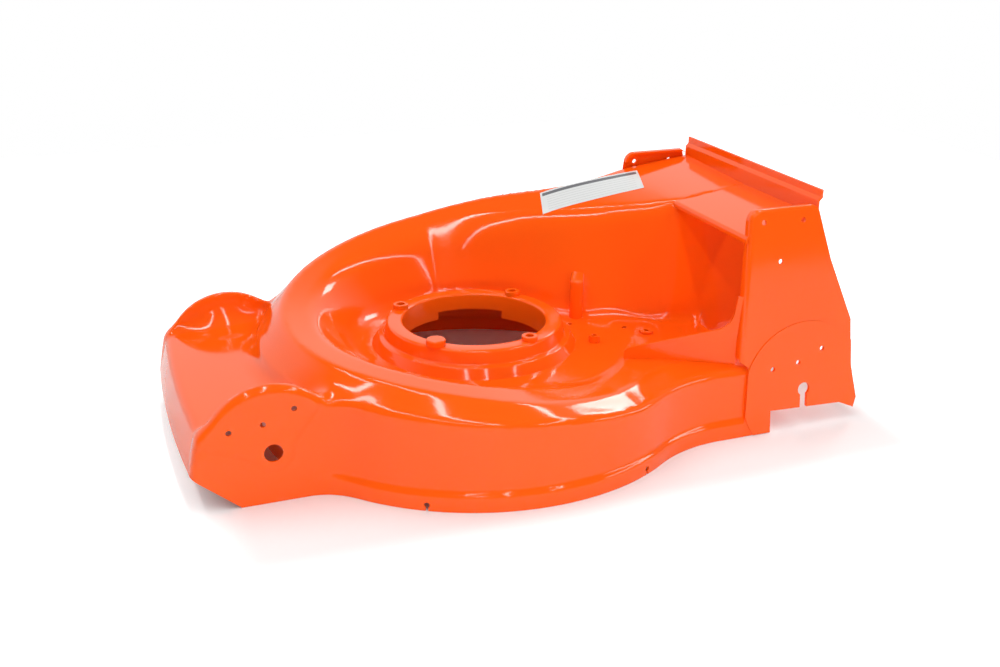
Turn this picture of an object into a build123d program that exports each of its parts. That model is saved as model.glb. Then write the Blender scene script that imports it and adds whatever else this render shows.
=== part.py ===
"""Pressed steel deck of a walk-behind lawn mower with a rear discharge tunnel.

Frame: X points to the rear, Y to the machine's right, Z up. Heights are written above the ground
that the skirt stands on, and every piece is exported with the engine seat on the crank axis at the
origin. Millimetres.
"""
import math
import os

from build123d import *

# Sheet thicknesses
SHELL_SHEET = 2.5
PLATE_SHEET = 3.0
GUARD_SHEET = 3.0

# Skirt: a round blade chamber that runs back into straight leaning sides
SKIRT_RADIUS = 277.0
SKIRT_HALF_WIDTH = 201.0
SKIRT_WAIST_RADIUS = 172.0
SKIRT_REAR = 306.0
SIDE_LEAN = 0.1157
BAND_HEIGHT = 18.0
JOGGLE_HEIGHT = 6.0
JOGGLE_STEP = 4.5
WALL_DRAFT = 2.0
SILL_HEIGHT = 86.0
SILL_WIDTH = 30.0
PLATFORM_HEIGHT = 93.0
DRAIN_ANGLES = (-120.4, -63.0)
DRAIN_HOLE_RADIUS = 3.2
DRAIN_HOLE_HEIGHT = 7.0
DRAIN_SLOT_WIDTH = 3.0

# Volute: heights and radii by degrees turned from the rear left corner, clockwise seen from above
VOLUTE_START = -65.0
VOLUTE_TURN = 205.0
VOLUTE_STEPS = 16
VOLUTE_EDGE_RADIUS = 240.0
RAMP_ROUND = [(0, 92.3), (25, 108), (45, 120.5), (70, 131), (115, 142), (160, 166), (205, 196)]
WALL_ROUND = [(0, 85.4), (25, 99), (45, 104), (70, 110), (115, 112), (160, 132), (205, 164)]
CREST_ROUND = [(0, 203), (25, 195), (45, 203), (70, 205), (115, 203), (160, 195), (205, 186)]
DROP_ROUND = [(0, 0.2), (70, 0.2), (115, 3), (160, 8), (205, 14)]
FOOT_ROUND = [(0, 190), (25, 150), (45, 137), (70, 134), (115, 135), (160, 141), (205, 145)]
ROLL_ROUND = [(0, 8), (45, 10), (70, 12), (115, 25), (160, 45), (205, 55)]

# Tunnel: the same values by distance behind the crank axis
TUNNEL_REAR = 385.0
TUNNEL_STATIONS = (50, 100, 150, 200, 245, 290, 340)
RAMP_STRAIGHT = [(0, 196), (100, 218), (200, 241), (290, 259), (390, 272)]
WALL_STRAIGHT = [(0, 164), (100, 190), (200, 222), (290, 252), (390, 266)]
CREST_STRAIGHT = [(0, 186), (60, 174), (110, 148), (160, 108), (210, 64), (255, 24), (290, 6), (390, 2)]
DROP_STRAIGHT = [(0, 14), (100, 17), (160, 18), (210, 17), (255, 13), (290, 8), (390, 6)]
FOOT_STRAIGHT = [(0, 145), (60, 131), (110, 90), (145, 46), (175, 15), (222, -8), (267, -33), (390, -35)]
ROLL_STRAIGHT = [(0, 55), (100, 55), (200, 45), (290, 20), (390, 16)]
SHOULDER_STRAIGHT = [(0, 30), (100, 28), (200, 22), (290, 7), (390, 6)]
LEAN_START = 100.0
LEAN_RUN = 150.0
WALL_SETBACK = 1.2
WALL_EDGE_ROUND = 6.0
SHOULDER_EDGE_ROUND = 8.0
FOOT_DEPTH = 13.0
BURIED_HEIGHT = 60.0

# Top panel between the tunnel and the left side plate
PANEL_FRONT = 283.0
PANEL_HEM = 16.0
PANEL_HEM_RADIUS = 10.0

# Engine seat: a raised two-step ring round the crank opening
SEAT_HEIGHT = 123.0
OPENING_RADIUS = 91.0
SEAT_RADIUS = 111.0
SEAT_STEP_RADIUS = 121.0
SEAT_STEP_HEIGHT = 105.0
SEAT_BASE_RADIUS = 129.0
SEAT_DRAFT = 4.0
SEAT_ROUND = 4.0
NOTCH_HEIGHT = 101.0
NOTCH_ANGLES = (46.0, 102.0)
BOLT_CIRCLE = 203.2
BOLT_ANGLES = (140.0, 40.0, -68.0)
BOLT_HOLE_RADIUS = 4.8
COLLAR_RADIUS = 10.0
COLLAR_HEIGHT = 6.0
PAD_ANGLE = -136.0
PAD_CIRCLE = 207.0
PAD_RADIUS = 12.0
PAD_HEIGHT = 8.0
PAD_ROUND = 2.0

# Front apron with its wheel brackets
BRACKET_HALF_WIDTH = 163.4
APRON_REAR = -200.0
APRON_REAR_HEIGHT = 103.0
FOLD_X = -374.0
FOLD_HEIGHT = 93.0
FOLD_ROUND = 12.0
CREASE_X = -383.0
CREASE_HEIGHT = 57.0
LIP_X = -386.0
LIP_HEIGHT = 43.0
BOW_RADIUS = 1900.0
BRACKET_FOOT = -328.0
FRONT_AXLE_X = -290.0
FRONT_AXLE_Z = 61.0
FRONT_AXLE_RADIUS = 10.5
HUMP_RADIUS = 78.0
HUMP_EDGE_ROUND = 8.0
HUMP_RIM = 12.0
HUMP_COVE_RADIUS = 45.0

# Wheel height holes, from the axle of either wheel, and the screw size of them all
SCREW_RADIUS = 3.2
HEIGHT_HOLES = ((-46.3, 31.4), (-9.5, 35.6), (25.0, 49.5))

# Rear side plates
REAR_AXLE_X = 370.0
REAR_AXLE_Z = 50.0
REAR_SLOT_RADIUS = 8.5
REAR_SLOT_NECK = 10.0
PLATE_OUTLINE = [(284, 0), (322, 0), (322, 28), (424, 24.5), (446, 15), (450, 28), (440, 72), (437, 132),
                 (403, 212), (382, 277), (376, 281), (288, 281), (277, 97), (289, 88)]
PLATE_TOP_CORNER = 14.0
PLATE_FLANGE = 8.0
FLANGE_FROM_LEFT = 99.0
FLANGE_FROM_RIGHT = 268.0
PLATE_EDGE_ROUND = 6.0
HANDLE_HOLES = ((305.5, 265.5), (361.0, 264.0), (331.0, 216.0))
PLATE_PAD_RADIUS = 88.0
PLATE_PAD_RISE = 1.2

# Flap rail across the rear of the top panel
RAIL_HALF_LENGTH = 162.0
RAIL_BOTTOM = 262.0
RAIL_FOLD = 284.0
RAIL_TOP = 297.0
RAIL_SHEET = 3.0
RAIL_JOGGLE = 4.0

# Belt guard: the upright sheet on the platform that runs back to the left side plate
GUARD_FRONT = (149.0, -130.0)
GUARD_REAR = (279.0, -176.0)
GUARD_FRONT_HEIGHT = 17.0
GUARD_REAR_HEIGHT = 47.0
GUARD_POST_HEIGHT = 84.0
GUARD_POST_WIDTH = 8.0
GUARD_CORNER = 25.0
GUARD_TIP_ROUND = 9.0
GUARD_FOOT = 9.0

# Raised screw bosses on the platform
BOSSES = ((142.6, -58.0, 7.0, 9.0), (215.6, -60.8, 9.0, 7.0))
BOSS_HOLE_RADIUS = 3.2
PLATFORM_HOLES = ((139.0, 9.2), (198.0, -33.0))

# Upright rib at the foot of the inner tunnel wall
RIB_PLACE = (157.0, 31.0)
RIB_RADIUS = 9.0
RIB_ROUND = 4.0
RIB_TOP = 147.0
RIB_TURN = 63.0
RIB_REACH = 50.0

CUT_REACH = 5.0
FAR_AWAY = 600.0


def smooth(pairs, place):
    """Value at a place on the smooth curve through hand-set (place, value) pairs."""
    places = [p for p, _ in pairs]
    values = [v for _, v in pairs]
    slopes = []
    for i in range(len(pairs)):
        low = max(i - 1, 0)
        high = min(i + 1, len(pairs) - 1)
        slopes.append((values[high] - values[low]) / (places[high] - places[low]))
    i = 0
    while i < len(pairs) - 2 and place > places[i + 1]:
        i += 1
    span = places[i + 1] - places[i]
    s = (place - places[i]) / span
    level = values[i] * (1 + 2 * s) * (1 - s) ** 2 + values[i + 1] * s * s * (3 - 2 * s)
    return level + span * s * (1 - s) * (slopes[i] * (1 - s) - slopes[i + 1] * s)


def inset(points, depth):
    """The open outline moved to its left by a depth, with its corners kept mitred."""
    sides = []
    for (ax, ay), (bx, by) in zip(points, points[1:]):
        length = math.hypot(bx - ax, by - ay)
        nx = -(by - ay) / length * depth
        ny = (bx - ax) / length * depth
        sides.append(((ax + nx, ay + ny), (bx - ax, by - ay)))
    moved = [sides[0][0]]
    for (p, d), (q, e) in zip(sides, sides[1:]):
        reach = ((q[0] - p[0]) * e[1] - (q[1] - p[1]) * e[0]) / (d[0] * e[1] - d[1] * e[0])
        moved.append((p[0] + d[0] * reach, p[1] + d[1] * reach))
    last, way = sides[-1]
    moved.append((last[0] + way[0], last[1] + way[1]))
    return moved


def side_half_width(height):
    """Half width over the outside of the side plates at a height."""
    return SKIRT_HALF_WIDTH - SIDE_LEAN * height


def plate_gap():
    """Width across the machine that one side plate takes up."""
    return PLATE_SHEET * math.hypot(1, SIDE_LEAN)


def wall_half_width(height):
    """Half width over the sheet that the side plates lie against."""
    return side_half_width(height) - plate_gap()


def skirt_plan(radius, half_width, waist, rear, height):
    """Plan of the skirt at one height: a round front that narrows through a waist into straight sides."""
    waist_x = math.sqrt((radius + waist) ** 2 - (half_width + waist) ** 2)
    waist_y = half_width + waist
    turn = math.atan2(waist_y, waist_x)
    leave = (radius * math.cos(turn), radius * math.sin(turn))
    middle = (turn + math.pi + 1.5 * math.pi) / 2
    through = (waist_x + waist * math.cos(middle), waist_y + waist * math.sin(middle))

    def at(x, y):
        return Vector(x, y, height)

    edges = [
        ThreePointArc(at(leave[0], -leave[1]), at(-radius, 0), at(*leave)),
        ThreePointArc(at(*leave), at(*through), at(waist_x, half_width)),
        Line(at(waist_x, half_width), at(rear, half_width)),
        Line(at(rear, half_width), at(rear, -half_width)),
        Line(at(rear, -half_width), at(waist_x, -half_width)),
        ThreePointArc(at(waist_x, -half_width), at(through[0], -through[1]), at(leave[0], -leave[1])),
    ]
    return make_face(edges)


def skirt_body(depth):
    """Everything inside the skirt and under the platform, drawn in by a depth."""
    wall_radius = SKIRT_RADIUS - JOGGLE_STEP
    top_radius = wall_radius - WALL_DRAFT
    joggle_top = BAND_HEIGHT + JOGGLE_HEIGHT
    profile = [
        (SKIRT_RADIUS, 0),
        (SKIRT_RADIUS, BAND_HEIGHT),
        (wall_radius, joggle_top),
        (top_radius, SILL_HEIGHT),
        (top_radius - SILL_WIDTH, PLATFORM_HEIGHT),
        (0, PLATFORM_HEIGHT),
    ]
    half_widths = [
        side_half_width(0),
        side_half_width(BAND_HEIGHT),
        wall_half_width(joggle_top),
        wall_half_width(SILL_HEIGHT),
        wall_half_width(SILL_HEIGHT) - SILL_WIDTH,
    ]
    drawn = inset(profile, depth)
    plans = []
    for (u, z), (drawn_u, drawn_z), half_width in zip(profile, drawn, half_widths):
        step = u - drawn_u
        waist = SKIRT_WAIST_RADIUS + (half_widths[0] - half_width) + step
        base = drawn_z if z > 0 or depth == 0 else -CUT_REACH
        plans.append(skirt_plan(drawn_u, half_width - step, waist, SKIRT_REAR - depth, base))
    return loft(plans, ruled=True)


def waist_line(x):
    """Half width of the wall at the height of the sill, at a distance behind the crank axis."""
    radius = SKIRT_RADIUS - JOGGLE_STEP - WALL_DRAFT
    half_width = wall_half_width(SILL_HEIGHT)
    waist = SKIRT_WAIST_RADIUS + SKIRT_HALF_WIDTH - half_width
    waist_x = math.sqrt((radius + waist) ** 2 - (half_width + waist) ** 2)
    leave_x = waist_x * radius / (radius + waist)
    if x < leave_x:
        return math.sqrt(radius ** 2 - x ** 2)
    if x < waist_x:
        return half_width + waist - math.sqrt(waist ** 2 - (waist_x - x) ** 2)
    return half_width


def ridge_face(outline, depth, roll, place):
    """One cross-section of the volute, from the foot of its outer wall over the top to its inner foot."""
    base = BURIED_HEIGHT if depth == 0 else -CUT_REACH
    points = inset(outline, depth)
    points = [(points[0][0], base)] + points[1:-1] + [(points[-1][0], base)]
    rounds = [WALL_EDGE_ROUND, SHOULDER_EDGE_ROUND, roll, 2 * SHELL_SHEET]
    spots = [place(u, z) for u, z in points]
    top = FilletPolyline(*spots, radius=[r - depth for r in rounds])
    return make_face([top, Line(spots[-1], spots[0])])


def round_section(turned, depth):
    """Cross-section of the volute where it runs round the crank axis."""
    angle = math.radians(VOLUTE_START - turned)
    wall = SKIRT_RADIUS - JOGGLE_STEP - WALL_DRAFT - WALL_SETBACK
    top = smooth(RAMP_ROUND, turned)
    outline = [
        (wall, BURIED_HEIGHT),
        (wall, smooth(WALL_ROUND, turned)),
        (VOLUTE_EDGE_RADIUS, top),
        (smooth(CREST_ROUND, turned), top - smooth(DROP_ROUND, turned)),
        (smooth(FOOT_ROUND, turned), PLATFORM_HEIGHT - FOOT_DEPTH),
        (smooth(FOOT_ROUND, turned), BURIED_HEIGHT),
    ]

    def place(u, z):
        return Vector(u * math.cos(angle), u * math.sin(angle), z)

    return ridge_face(outline, depth, smooth(ROLL_ROUND, turned), place)


def straight_section(x, depth):
    """Cross-section of the tunnel where it runs straight to the rear."""
    wall_top = smooth(WALL_STRAIGHT, x)
    sill = waist_line(x) - WALL_SETBACK
    straight = min(max((x - LEAN_START) / LEAN_RUN, 0), 1)
    lean = SIDE_LEAN * straight
    wall = sill - lean * (wall_top - SILL_HEIGHT)
    top = smooth(RAMP_STRAIGHT, x)
    outline = [
        (sill + lean * (SILL_HEIGHT - BURIED_HEIGHT), BURIED_HEIGHT),
        (wall, wall_top),
        (wall - smooth(SHOULDER_STRAIGHT, x), top),
        (smooth(CREST_STRAIGHT, x), top - smooth(DROP_STRAIGHT, x)),
        (smooth(FOOT_STRAIGHT, x), PLATFORM_HEIGHT - FOOT_DEPTH),
        (smooth(FOOT_STRAIGHT, x), BURIED_HEIGHT),
    ]

    def place(u, z):
        return Vector(x, u, z)

    return ridge_face(outline, depth, smooth(ROLL_STRAIGHT, x), place)


def volute_body(depth):
    """The rising volute and the tunnel that it runs into, drawn in by a depth."""
    step = VOLUTE_TURN / VOLUTE_STEPS
    sections = [round_section(i * step, depth) for i in range(VOLUTE_STEPS + 1)]
    rear = TUNNEL_REAR if depth == 0 else TUNNEL_REAR + CUT_REACH
    sections += [straight_section(x, depth) for x in (*TUNNEL_STATIONS, rear)]
    return loft(sections)


def apron_body(depth):
    """Front apron with its rolled nose, bowed forward in plan and cut off at the wheel brackets."""
    nose = [
        (LIP_X, 0),
        (LIP_X, LIP_HEIGHT),
        (CREASE_X, CREASE_HEIGHT),
        (FOLD_X, FOLD_HEIGHT),
        (APRON_REAR, APRON_REAR_HEIGHT),
    ]
    points = inset(nose, -depth)
    base = 0 if depth == 0 else -CUT_REACH
    points[0] = (points[0][0], base)
    spots = [Vector(x, 0, z) for x, z in points]
    rear_foot = Vector(points[-1][0], 0, base)
    path = FilletPolyline(*spots, radius=[0, 0, FOLD_ROUND - depth])
    face = make_face([path, Line(spots[-1], rear_foot), Line(rear_foot, spots[0])])
    bow_axis = Axis((LIP_X + BOW_RADIUS, 0, 0), (0, 0, 1))
    half_turn = math.degrees(math.asin(1.1 * BRACKET_HALF_WIDTH / BOW_RADIUS))
    bowed = revolve(face, axis=bow_axis, revolution_arc=2 * half_turn)
    bowed = bowed.rotate(bow_axis, -half_turn)
    width = 2 * (BRACKET_HALF_WIDTH - depth)
    return bowed & Box(2 * FAR_AWAY, width, FAR_AWAY)


def hump_body(depth):
    """Half-round flare over the left front wheel, hollowed into a cove on its inner side."""
    cove_centre = HUMP_RIM + HUMP_COVE_RADIUS
    rim = HUMP_RADIUS - depth
    cove = HUMP_COVE_RADIUS + depth
    rim_end = cove_centre - math.sqrt(cove ** 2 - depth ** 2)
    foot = HUMP_RADIUS - cove
    middle = math.radians(225)

    def at(inward, r):
        return Vector(FRONT_AXLE_X, inward - BRACKET_HALF_WIDTH, FRONT_AXLE_Z + r)

    spots = [at(depth, 0), at(depth, rim), at(rim_end, rim)]
    edge = FilletPolyline(*spots, radius=HUMP_EDGE_ROUND - depth)
    through = at(cove_centre + cove * math.cos(middle), HUMP_RADIUS + cove * math.sin(middle))
    flare = ThreePointArc(spots[2], through, at(cove_centre, foot))
    close = Polyline(at(cove_centre, foot), at(cove_centre, 0), spots[0])
    face = make_face([edge, flare, close])
    axle = Axis((FRONT_AXLE_X, 0, FRONT_AXLE_Z), (0, 1, 0))
    return revolve(face, axis=axle, revolution_arc=180).rotate(axle, -90)


def both_sides(solid):
    """A solid of the left side together with its mirror image on the right."""
    return solid + mirror(solid, about=Plane.XZ)


def seat_body(depth):
    """Raised ring that carries the engine, or the hollow under it."""
    profile = [
        (SEAT_BASE_RADIUS + SEAT_DRAFT, PLATFORM_HEIGHT - SEAT_DRAFT),
        (SEAT_STEP_RADIUS, SEAT_STEP_HEIGHT),
        (SEAT_RADIUS + SEAT_DRAFT, SEAT_STEP_HEIGHT + 1),
        (SEAT_RADIUS, SEAT_HEIGHT),
        (OPENING_RADIUS, SEAT_HEIGHT),
        (OPENING_RADIUS, PLATFORM_HEIGHT - SEAT_DRAFT),
    ]
    points = inset(profile, depth)
    spots = [Vector(r, 0, z) for r, z in points]
    rounds = [0, 0, SEAT_ROUND - depth, 0]
    face = make_face([FilletPolyline(*spots, radius=rounds), Line(spots[-1], spots[0])])
    return revolve(face, axis=Axis.Z)


def on_circle(diameter, angle, height):
    """Place on a circle round the crank axis."""
    turn = math.radians(angle)
    return Pos(diameter / 2 * math.cos(turn), diameter / 2 * math.sin(turn), height)


def post(radius, height):
    """Upright cylinder that stands on the origin."""
    return Cylinder(radius, height, align=(Align.CENTER, Align.CENTER, Align.MIN))


def panel_body():
    """Flat top panel with a rolled front hem, between the tunnel and the left side plate."""
    front = smooth(RAMP_STRAIGHT, PANEL_FRONT) - smooth(DROP_STRAIGHT, PANEL_FRONT)
    rear = smooth(RAMP_STRAIGHT, TUNNEL_REAR) - smooth(DROP_STRAIGHT, TUNNEL_REAR)
    line = [(PANEL_FRONT, front - PANEL_HEM), (PANEL_FRONT, front), (TUNNEL_REAR, rear)]
    under = inset(line, -SHELL_SHEET)
    under[-1] = (TUNNEL_REAR, rear - SHELL_SHEET)
    upper_path = FilletPolyline(*[Vector(x, 0, z) for x, z in line], radius=PANEL_HEM_RADIUS)
    under_path = FilletPolyline(*[Vector(x, 0, z) for x, z in under], radius=PANEL_HEM_RADIUS - SHELL_SHEET)
    ends = [Line(upper_path @ 0, under_path @ 0), Line(upper_path @ 1, under_path @ 1)]
    face = make_face([upper_path, under_path, *ends])
    inner_edge = smooth(CREST_STRAIGHT, PANEL_FRONT)
    sheet = Pos(0, inner_edge, 0) * extrude(face, amount=SKIRT_HALF_WIDTH + inner_edge, dir=(0, -1, 0))
    outside = Box(2 * FAR_AWAY, 2 * FAR_AWAY, FAR_AWAY, align=(Align.CENTER, Align.CENTER, Align.MIN))
    return sheet - side_plane() * outside


def side_plane():
    """Plane of the left sheet that the side plate lies on: X rearward, Y up the slope."""
    return Plane(origin=(0, -wall_half_width(0), 0), x_dir=(1, 0, 0), z_dir=(0, -1, SIDE_LEAN))


def up_slope(height):
    """Distance up the leaning side plane that reaches a height."""
    return height * math.hypot(1, SIDE_LEAN)


def on_side(x, height):
    """Place on the left side plane."""
    return side_plane() * Pos(x, up_slope(height), 0)


def plate_face():
    """Outline of a side plate in its own plane, with its top front corner rounded."""
    spots = [(x, up_slope(z)) for x, z in PLATE_OUTLINE]
    top_front = PLATE_OUTLINE.index((288, 281))
    rounds = [PLATE_TOP_CORNER if i == top_front else 0 for i in range(len(spots))]
    return make_face(FilletPolyline(*spots, radius=rounds, close=True))


def plate_block():
    """Everything outside the left side plane within the outline of the side plate, and below it."""
    (front, _), (rear, _) = PLATE_OUTLINE[:2]
    below = Pos((front + rear) / 2, 0) * Rectangle(rear - front, 2 * CUT_REACH)
    return side_plane() * extrude(plate_face() + below, amount=SKIRT_RADIUS)


def side_plate(flange_from):
    """Left rear side plate: a flat sheet with its front and top edges turned in above a height."""
    outline = plate_face()
    blank = Pos(0, 0, -PLATE_FLANGE) * extrude(outline, amount=PLATE_FLANGE + PLATE_SHEET)
    top_z = up_slope(PLATE_OUTLINE[-3][1])
    edge_spots = [((PLATE_OUTLINE[-3][0] + PLATE_OUTLINE[-4][0]) / 2, top_z)]
    for x, z in edge_spots:
        edge = blank.edges().sort_by_distance(Vector(x, z, PLATE_SHEET))[0]
        blank = fillet(edge, PLATE_EDGE_ROUND)
    pocket = Pos(PLATE_SHEET, -PLATE_SHEET, -PLATE_FLANGE) * extrude(outline, amount=PLATE_FLANGE)
    low_height = up_slope(flange_from)
    low = Pos(PLATE_OUTLINE[-2][0], 0, -PLATE_FLANGE) * Box(
        FAR_AWAY, 2 * low_height, PLATE_FLANGE, align=(Align.CENTER, Align.CENTER, Align.MIN)
    )
    tail = Pos(PLATE_OUTLINE[8][0] - PLATE_SHEET, 0, -PLATE_FLANGE) * Box(
        FAR_AWAY, FAR_AWAY, PLATE_FLANGE, align=(Align.MIN, Align.CENTER, Align.MIN)
    )
    plate = blank - pocket - low - tail
    pad_disc = Pos(REAR_AXLE_X, up_slope(REAR_AXLE_Z)) * Circle(PLATE_PAD_RADIUS)
    pad = Pos(0, 0, PLATE_SHEET) * extrude(pad_disc & outline, amount=PLATE_PAD_RISE)
    plate = plate + pad
    holes = [(REAR_AXLE_X + dx, REAR_AXLE_Z + dz) for dx, dz in HEIGHT_HOLES] + list(HANDLE_HOLES)
    for x, z in holes:
        plate = plate - Pos(x, up_slope(z), 0) * Cylinder(SCREW_RADIUS, 4 * PLATE_FLANGE)
    axle = Pos(REAR_AXLE_X, up_slope(REAR_AXLE_Z), 0)
    plate = plate - axle * Cylinder(REAR_SLOT_RADIUS, 4 * PLATE_FLANGE)
    neck = Box(REAR_SLOT_NECK, REAR_AXLE_Z, 4 * PLATE_FLANGE, align=(Align.CENTER, Align.MAX, Align.CENTER))
    plate = plate - axle * neck
    return side_plane() * plate


def flap_rail():
    """Upright joggled strip across the rear edge of the top panel."""
    line = [
        (TUNNEL_REAR, RAIL_BOTTOM),
        (TUNNEL_REAR, RAIL_FOLD),
        (TUNNEL_REAR + RAIL_JOGGLE, RAIL_FOLD + RAIL_JOGGLE),
        (TUNNEL_REAR + RAIL_JOGGLE, RAIL_TOP),
    ]
    back = inset(line, -RAIL_SHEET)
    outline = [Vector(x, 0, z) for x, z in line + back[::-1]]
    face = make_face(Polyline(*outline, close=True))
    return Pos(0, RAIL_HALF_LENGTH, 0) * extrude(face, amount=2 * RAIL_HALF_LENGTH, dir=(0, -1, 0))


def belt_guard():
    """Upright sheet beside the belt, low at its free front end and turned up along the side plate."""
    run = Vector(GUARD_REAR[0] - GUARD_FRONT[0], GUARD_REAR[1] - GUARD_FRONT[1])
    length = run.length
    front_x, front_top = PLATE_OUTLINE[-2], PLATE_OUTLINE[-3]
    slant = (front_top[0] - front_x[0]) / (front_top[1] - front_x[1])
    rise = (GUARD_REAR_HEIGHT - GUARD_FRONT_HEIGHT) / length
    post_front = length - GUARD_POST_WIDTH
    spots = [
        (0, -GUARD_FOOT),
        (length - slant * GUARD_FOOT, -GUARD_FOOT),
        (length + slant * GUARD_POST_HEIGHT, GUARD_POST_HEIGHT),
        (post_front + slant * GUARD_POST_HEIGHT, GUARD_POST_HEIGHT),
        (post_front, GUARD_FRONT_HEIGHT + rise * post_front),
        (0, GUARD_FRONT_HEIGHT),
    ]
    rounds = [0, 0, 0, 0, GUARD_CORNER, GUARD_TIP_ROUND]
    face = make_face(FilletPolyline(*spots, radius=rounds, close=True))
    plane = Plane(
        origin=(GUARD_FRONT[0], GUARD_FRONT[1], PLATFORM_HEIGHT),
        x_dir=(run.X, run.Y, 0),
        z_dir=(run.Y, -run.X, 0),
    )
    return plane * extrude(face, amount=-GUARD_SHEET)


def chamber_body():
    """Outer form of the blade chamber: the round skirt with the volute and the tunnel on it."""
    return skirt_body(0) + volute_body(0) + rib_body(0)


def rib_body(depth):
    """Round-fronted upright rib that stands out of the foot of the inner tunnel wall."""
    face = Pos(RIB_REACH / 2, 0) * SlotCenterToCenter(RIB_REACH, 2 * (RIB_RADIUS - depth))
    rib = extrude(face, amount=RIB_TOP - depth - BURIED_HEIGHT)
    rib = fillet(rib.edges().group_by(Axis.Z)[-1], RIB_ROUND - depth)
    return Pos(*RIB_PLACE, BURIED_HEIGHT) * Rot(0, 0, RIB_TURN) * rib


def chamber_hollows():
    """The spaces under the sheet of the blade chamber."""
    return [skirt_body(SHELL_SHEET), volute_body(SHELL_SHEET), rib_body(SHELL_SHEET)]


def wedge_under_apron():
    """The room in front of the front wheels, under the lip of the apron."""
    side_lip = LIP_X + BOW_RADIUS - math.sqrt(BOW_RADIUS ** 2 - BRACKET_HALF_WIDTH ** 2)
    below = BRACKET_FOOT + (BRACKET_FOOT - side_lip) * CUT_REACH / LIP_HEIGHT
    corners = [(-FAR_AWAY, -CUT_REACH), (-FAR_AWAY, LIP_HEIGHT), (side_lip, LIP_HEIGHT), (below, -CUT_REACH)]
    face = make_face(Polyline(*[Vector(x, 0, z) for x, z in corners], close=True))
    return extrude(face, amount=SKIRT_RADIUS, dir=(0, 1, 0), both=True)


def seat_cuts():
    """Notch in the lip of the crank opening and the engine bolt holes."""
    notch_depth = 2 * SHELL_SHEET
    low, high = NOTCH_ANGLES
    corners = [
        Vector(OPENING_RADIUS - notch_depth, 0, BURIED_HEIGHT),
        Vector(OPENING_RADIUS + notch_depth, 0, BURIED_HEIGHT),
        Vector(OPENING_RADIUS + notch_depth, 0, NOTCH_HEIGHT),
        Vector(OPENING_RADIUS - notch_depth, 0, NOTCH_HEIGHT),
    ]
    notch = revolve(make_face(Polyline(*corners, close=True)), axis=Axis.Z, revolution_arc=high - low)
    cuts = [notch.rotate(Axis.Z, low)]
    for angle in BOLT_ANGLES:
        cuts.append(on_circle(BOLT_CIRCLE, angle, SEAT_STEP_HEIGHT) * post(BOLT_HOLE_RADIUS, SEAT_HEIGHT))
    return cuts


def skirt_cuts():
    """Drain keyholes in the lower band and the holes of the platform."""
    cuts = []
    for angle in DRAIN_ANGLES:
        hole = Pos(SKIRT_RADIUS, 0, DRAIN_HOLE_HEIGHT) * Rot(0, 90, 0) * Cylinder(DRAIN_HOLE_RADIUS, 2 * CUT_REACH)
        slot = Pos(SKIRT_RADIUS, 0, 0) * Box(2 * CUT_REACH, DRAIN_SLOT_WIDTH, 2 * DRAIN_HOLE_HEIGHT)
        cuts.append((hole + slot).rotate(Axis.Z, angle))
    for x, y in PLATFORM_HOLES:
        cuts.append(Pos(x, y, PLATFORM_HEIGHT) * Cylinder(SCREW_RADIUS, 2 * CUT_REACH))
    for x, y, _, _ in BOSSES:
        cuts.append(Pos(x, y, PLATFORM_HEIGHT) * Cylinder(BOSS_HOLE_RADIUS, 2 * CUT_REACH))
    return cuts


def bracket_cuts():
    """Axle hole through both front brackets and the wheel height holes of the left one."""
    across = Rot(90, 0, 0)
    cuts = [Pos(FRONT_AXLE_X, 0, FRONT_AXLE_Z) * across * Cylinder(FRONT_AXLE_RADIUS, 2 * SKIRT_RADIUS)]
    for dx, dz in HEIGHT_HOLES:
        place = Pos(FRONT_AXLE_X + dx, -BRACKET_HALF_WIDTH, FRONT_AXLE_Z + dz)
        cuts.append(both_sides(place * across * Cylinder(SCREW_RADIUS, 2 * CUT_REACH)))
    return cuts


def deck_shell(chamber, hollows, plates):
    """The main pressing: skirt, volute, tunnel, platform and engine seat."""
    opening = Pos(0, 0, BURIED_HEIGHT) * post(BOLT_CIRCLE / 2, SEAT_HEIGHT)
    shell = chamber - opening + seat_body(0)
    cuts = [*hollows, seat_body(SHELL_SHEET), *seat_cuts(), *skirt_cuts(), both_sides(plate_block()), *plates]
    for cut in cuts:
        shell = shell - cut
    return shell


def front_apron(chamber):
    """The front pressing: apron, wheel brackets and wheel flares, fitted round the front of the skirt."""
    apron = apron_body(0) + both_sides(hump_body(0))
    humps = both_sides(hump_body(SHELL_SHEET))
    for cut in [apron_body(SHELL_SHEET), humps, wedge_under_apron(), *bracket_cuts(), chamber]:
        apron = apron - cut
    return apron


def engine_collars():
    """Spacer collars on the three engine bolt holes."""
    collar = post(COLLAR_RADIUS, COLLAR_HEIGHT) - post(BOLT_HOLE_RADIUS, COLLAR_HEIGHT)
    return [on_circle(BOLT_CIRCLE, angle, SEAT_HEIGHT) * collar for angle in BOLT_ANGLES]


def engine_rest_pad():
    """Solid pad that takes the fourth corner of the engine."""
    pad = post(PAD_RADIUS, PAD_HEIGHT)
    pad = fillet(pad.edges().sort_by(Axis.Z)[-1], PAD_ROUND)
    return on_circle(PAD_CIRCLE, PAD_ANGLE, SEAT_HEIGHT) * pad


def platform_bosses():
    """Raised screw bosses on the platform."""
    bosses = []
    for x, y, radius, height in BOSSES:
        boss = post(radius, height) - post(BOSS_HOLE_RADIUS, height)
        bosses.append(Pos(x, y, PLATFORM_HEIGHT) * boss)
    return bosses


def export(node, *solids):
    """Write one piece with the engine seat at the origin."""
    shape = Compound(children=list(solids)) if len(solids) > 1 else solids[0]
    export_step(Pos(0, 0, -SEAT_HEIGHT) * shape, f"parts/{node}.step")


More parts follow.
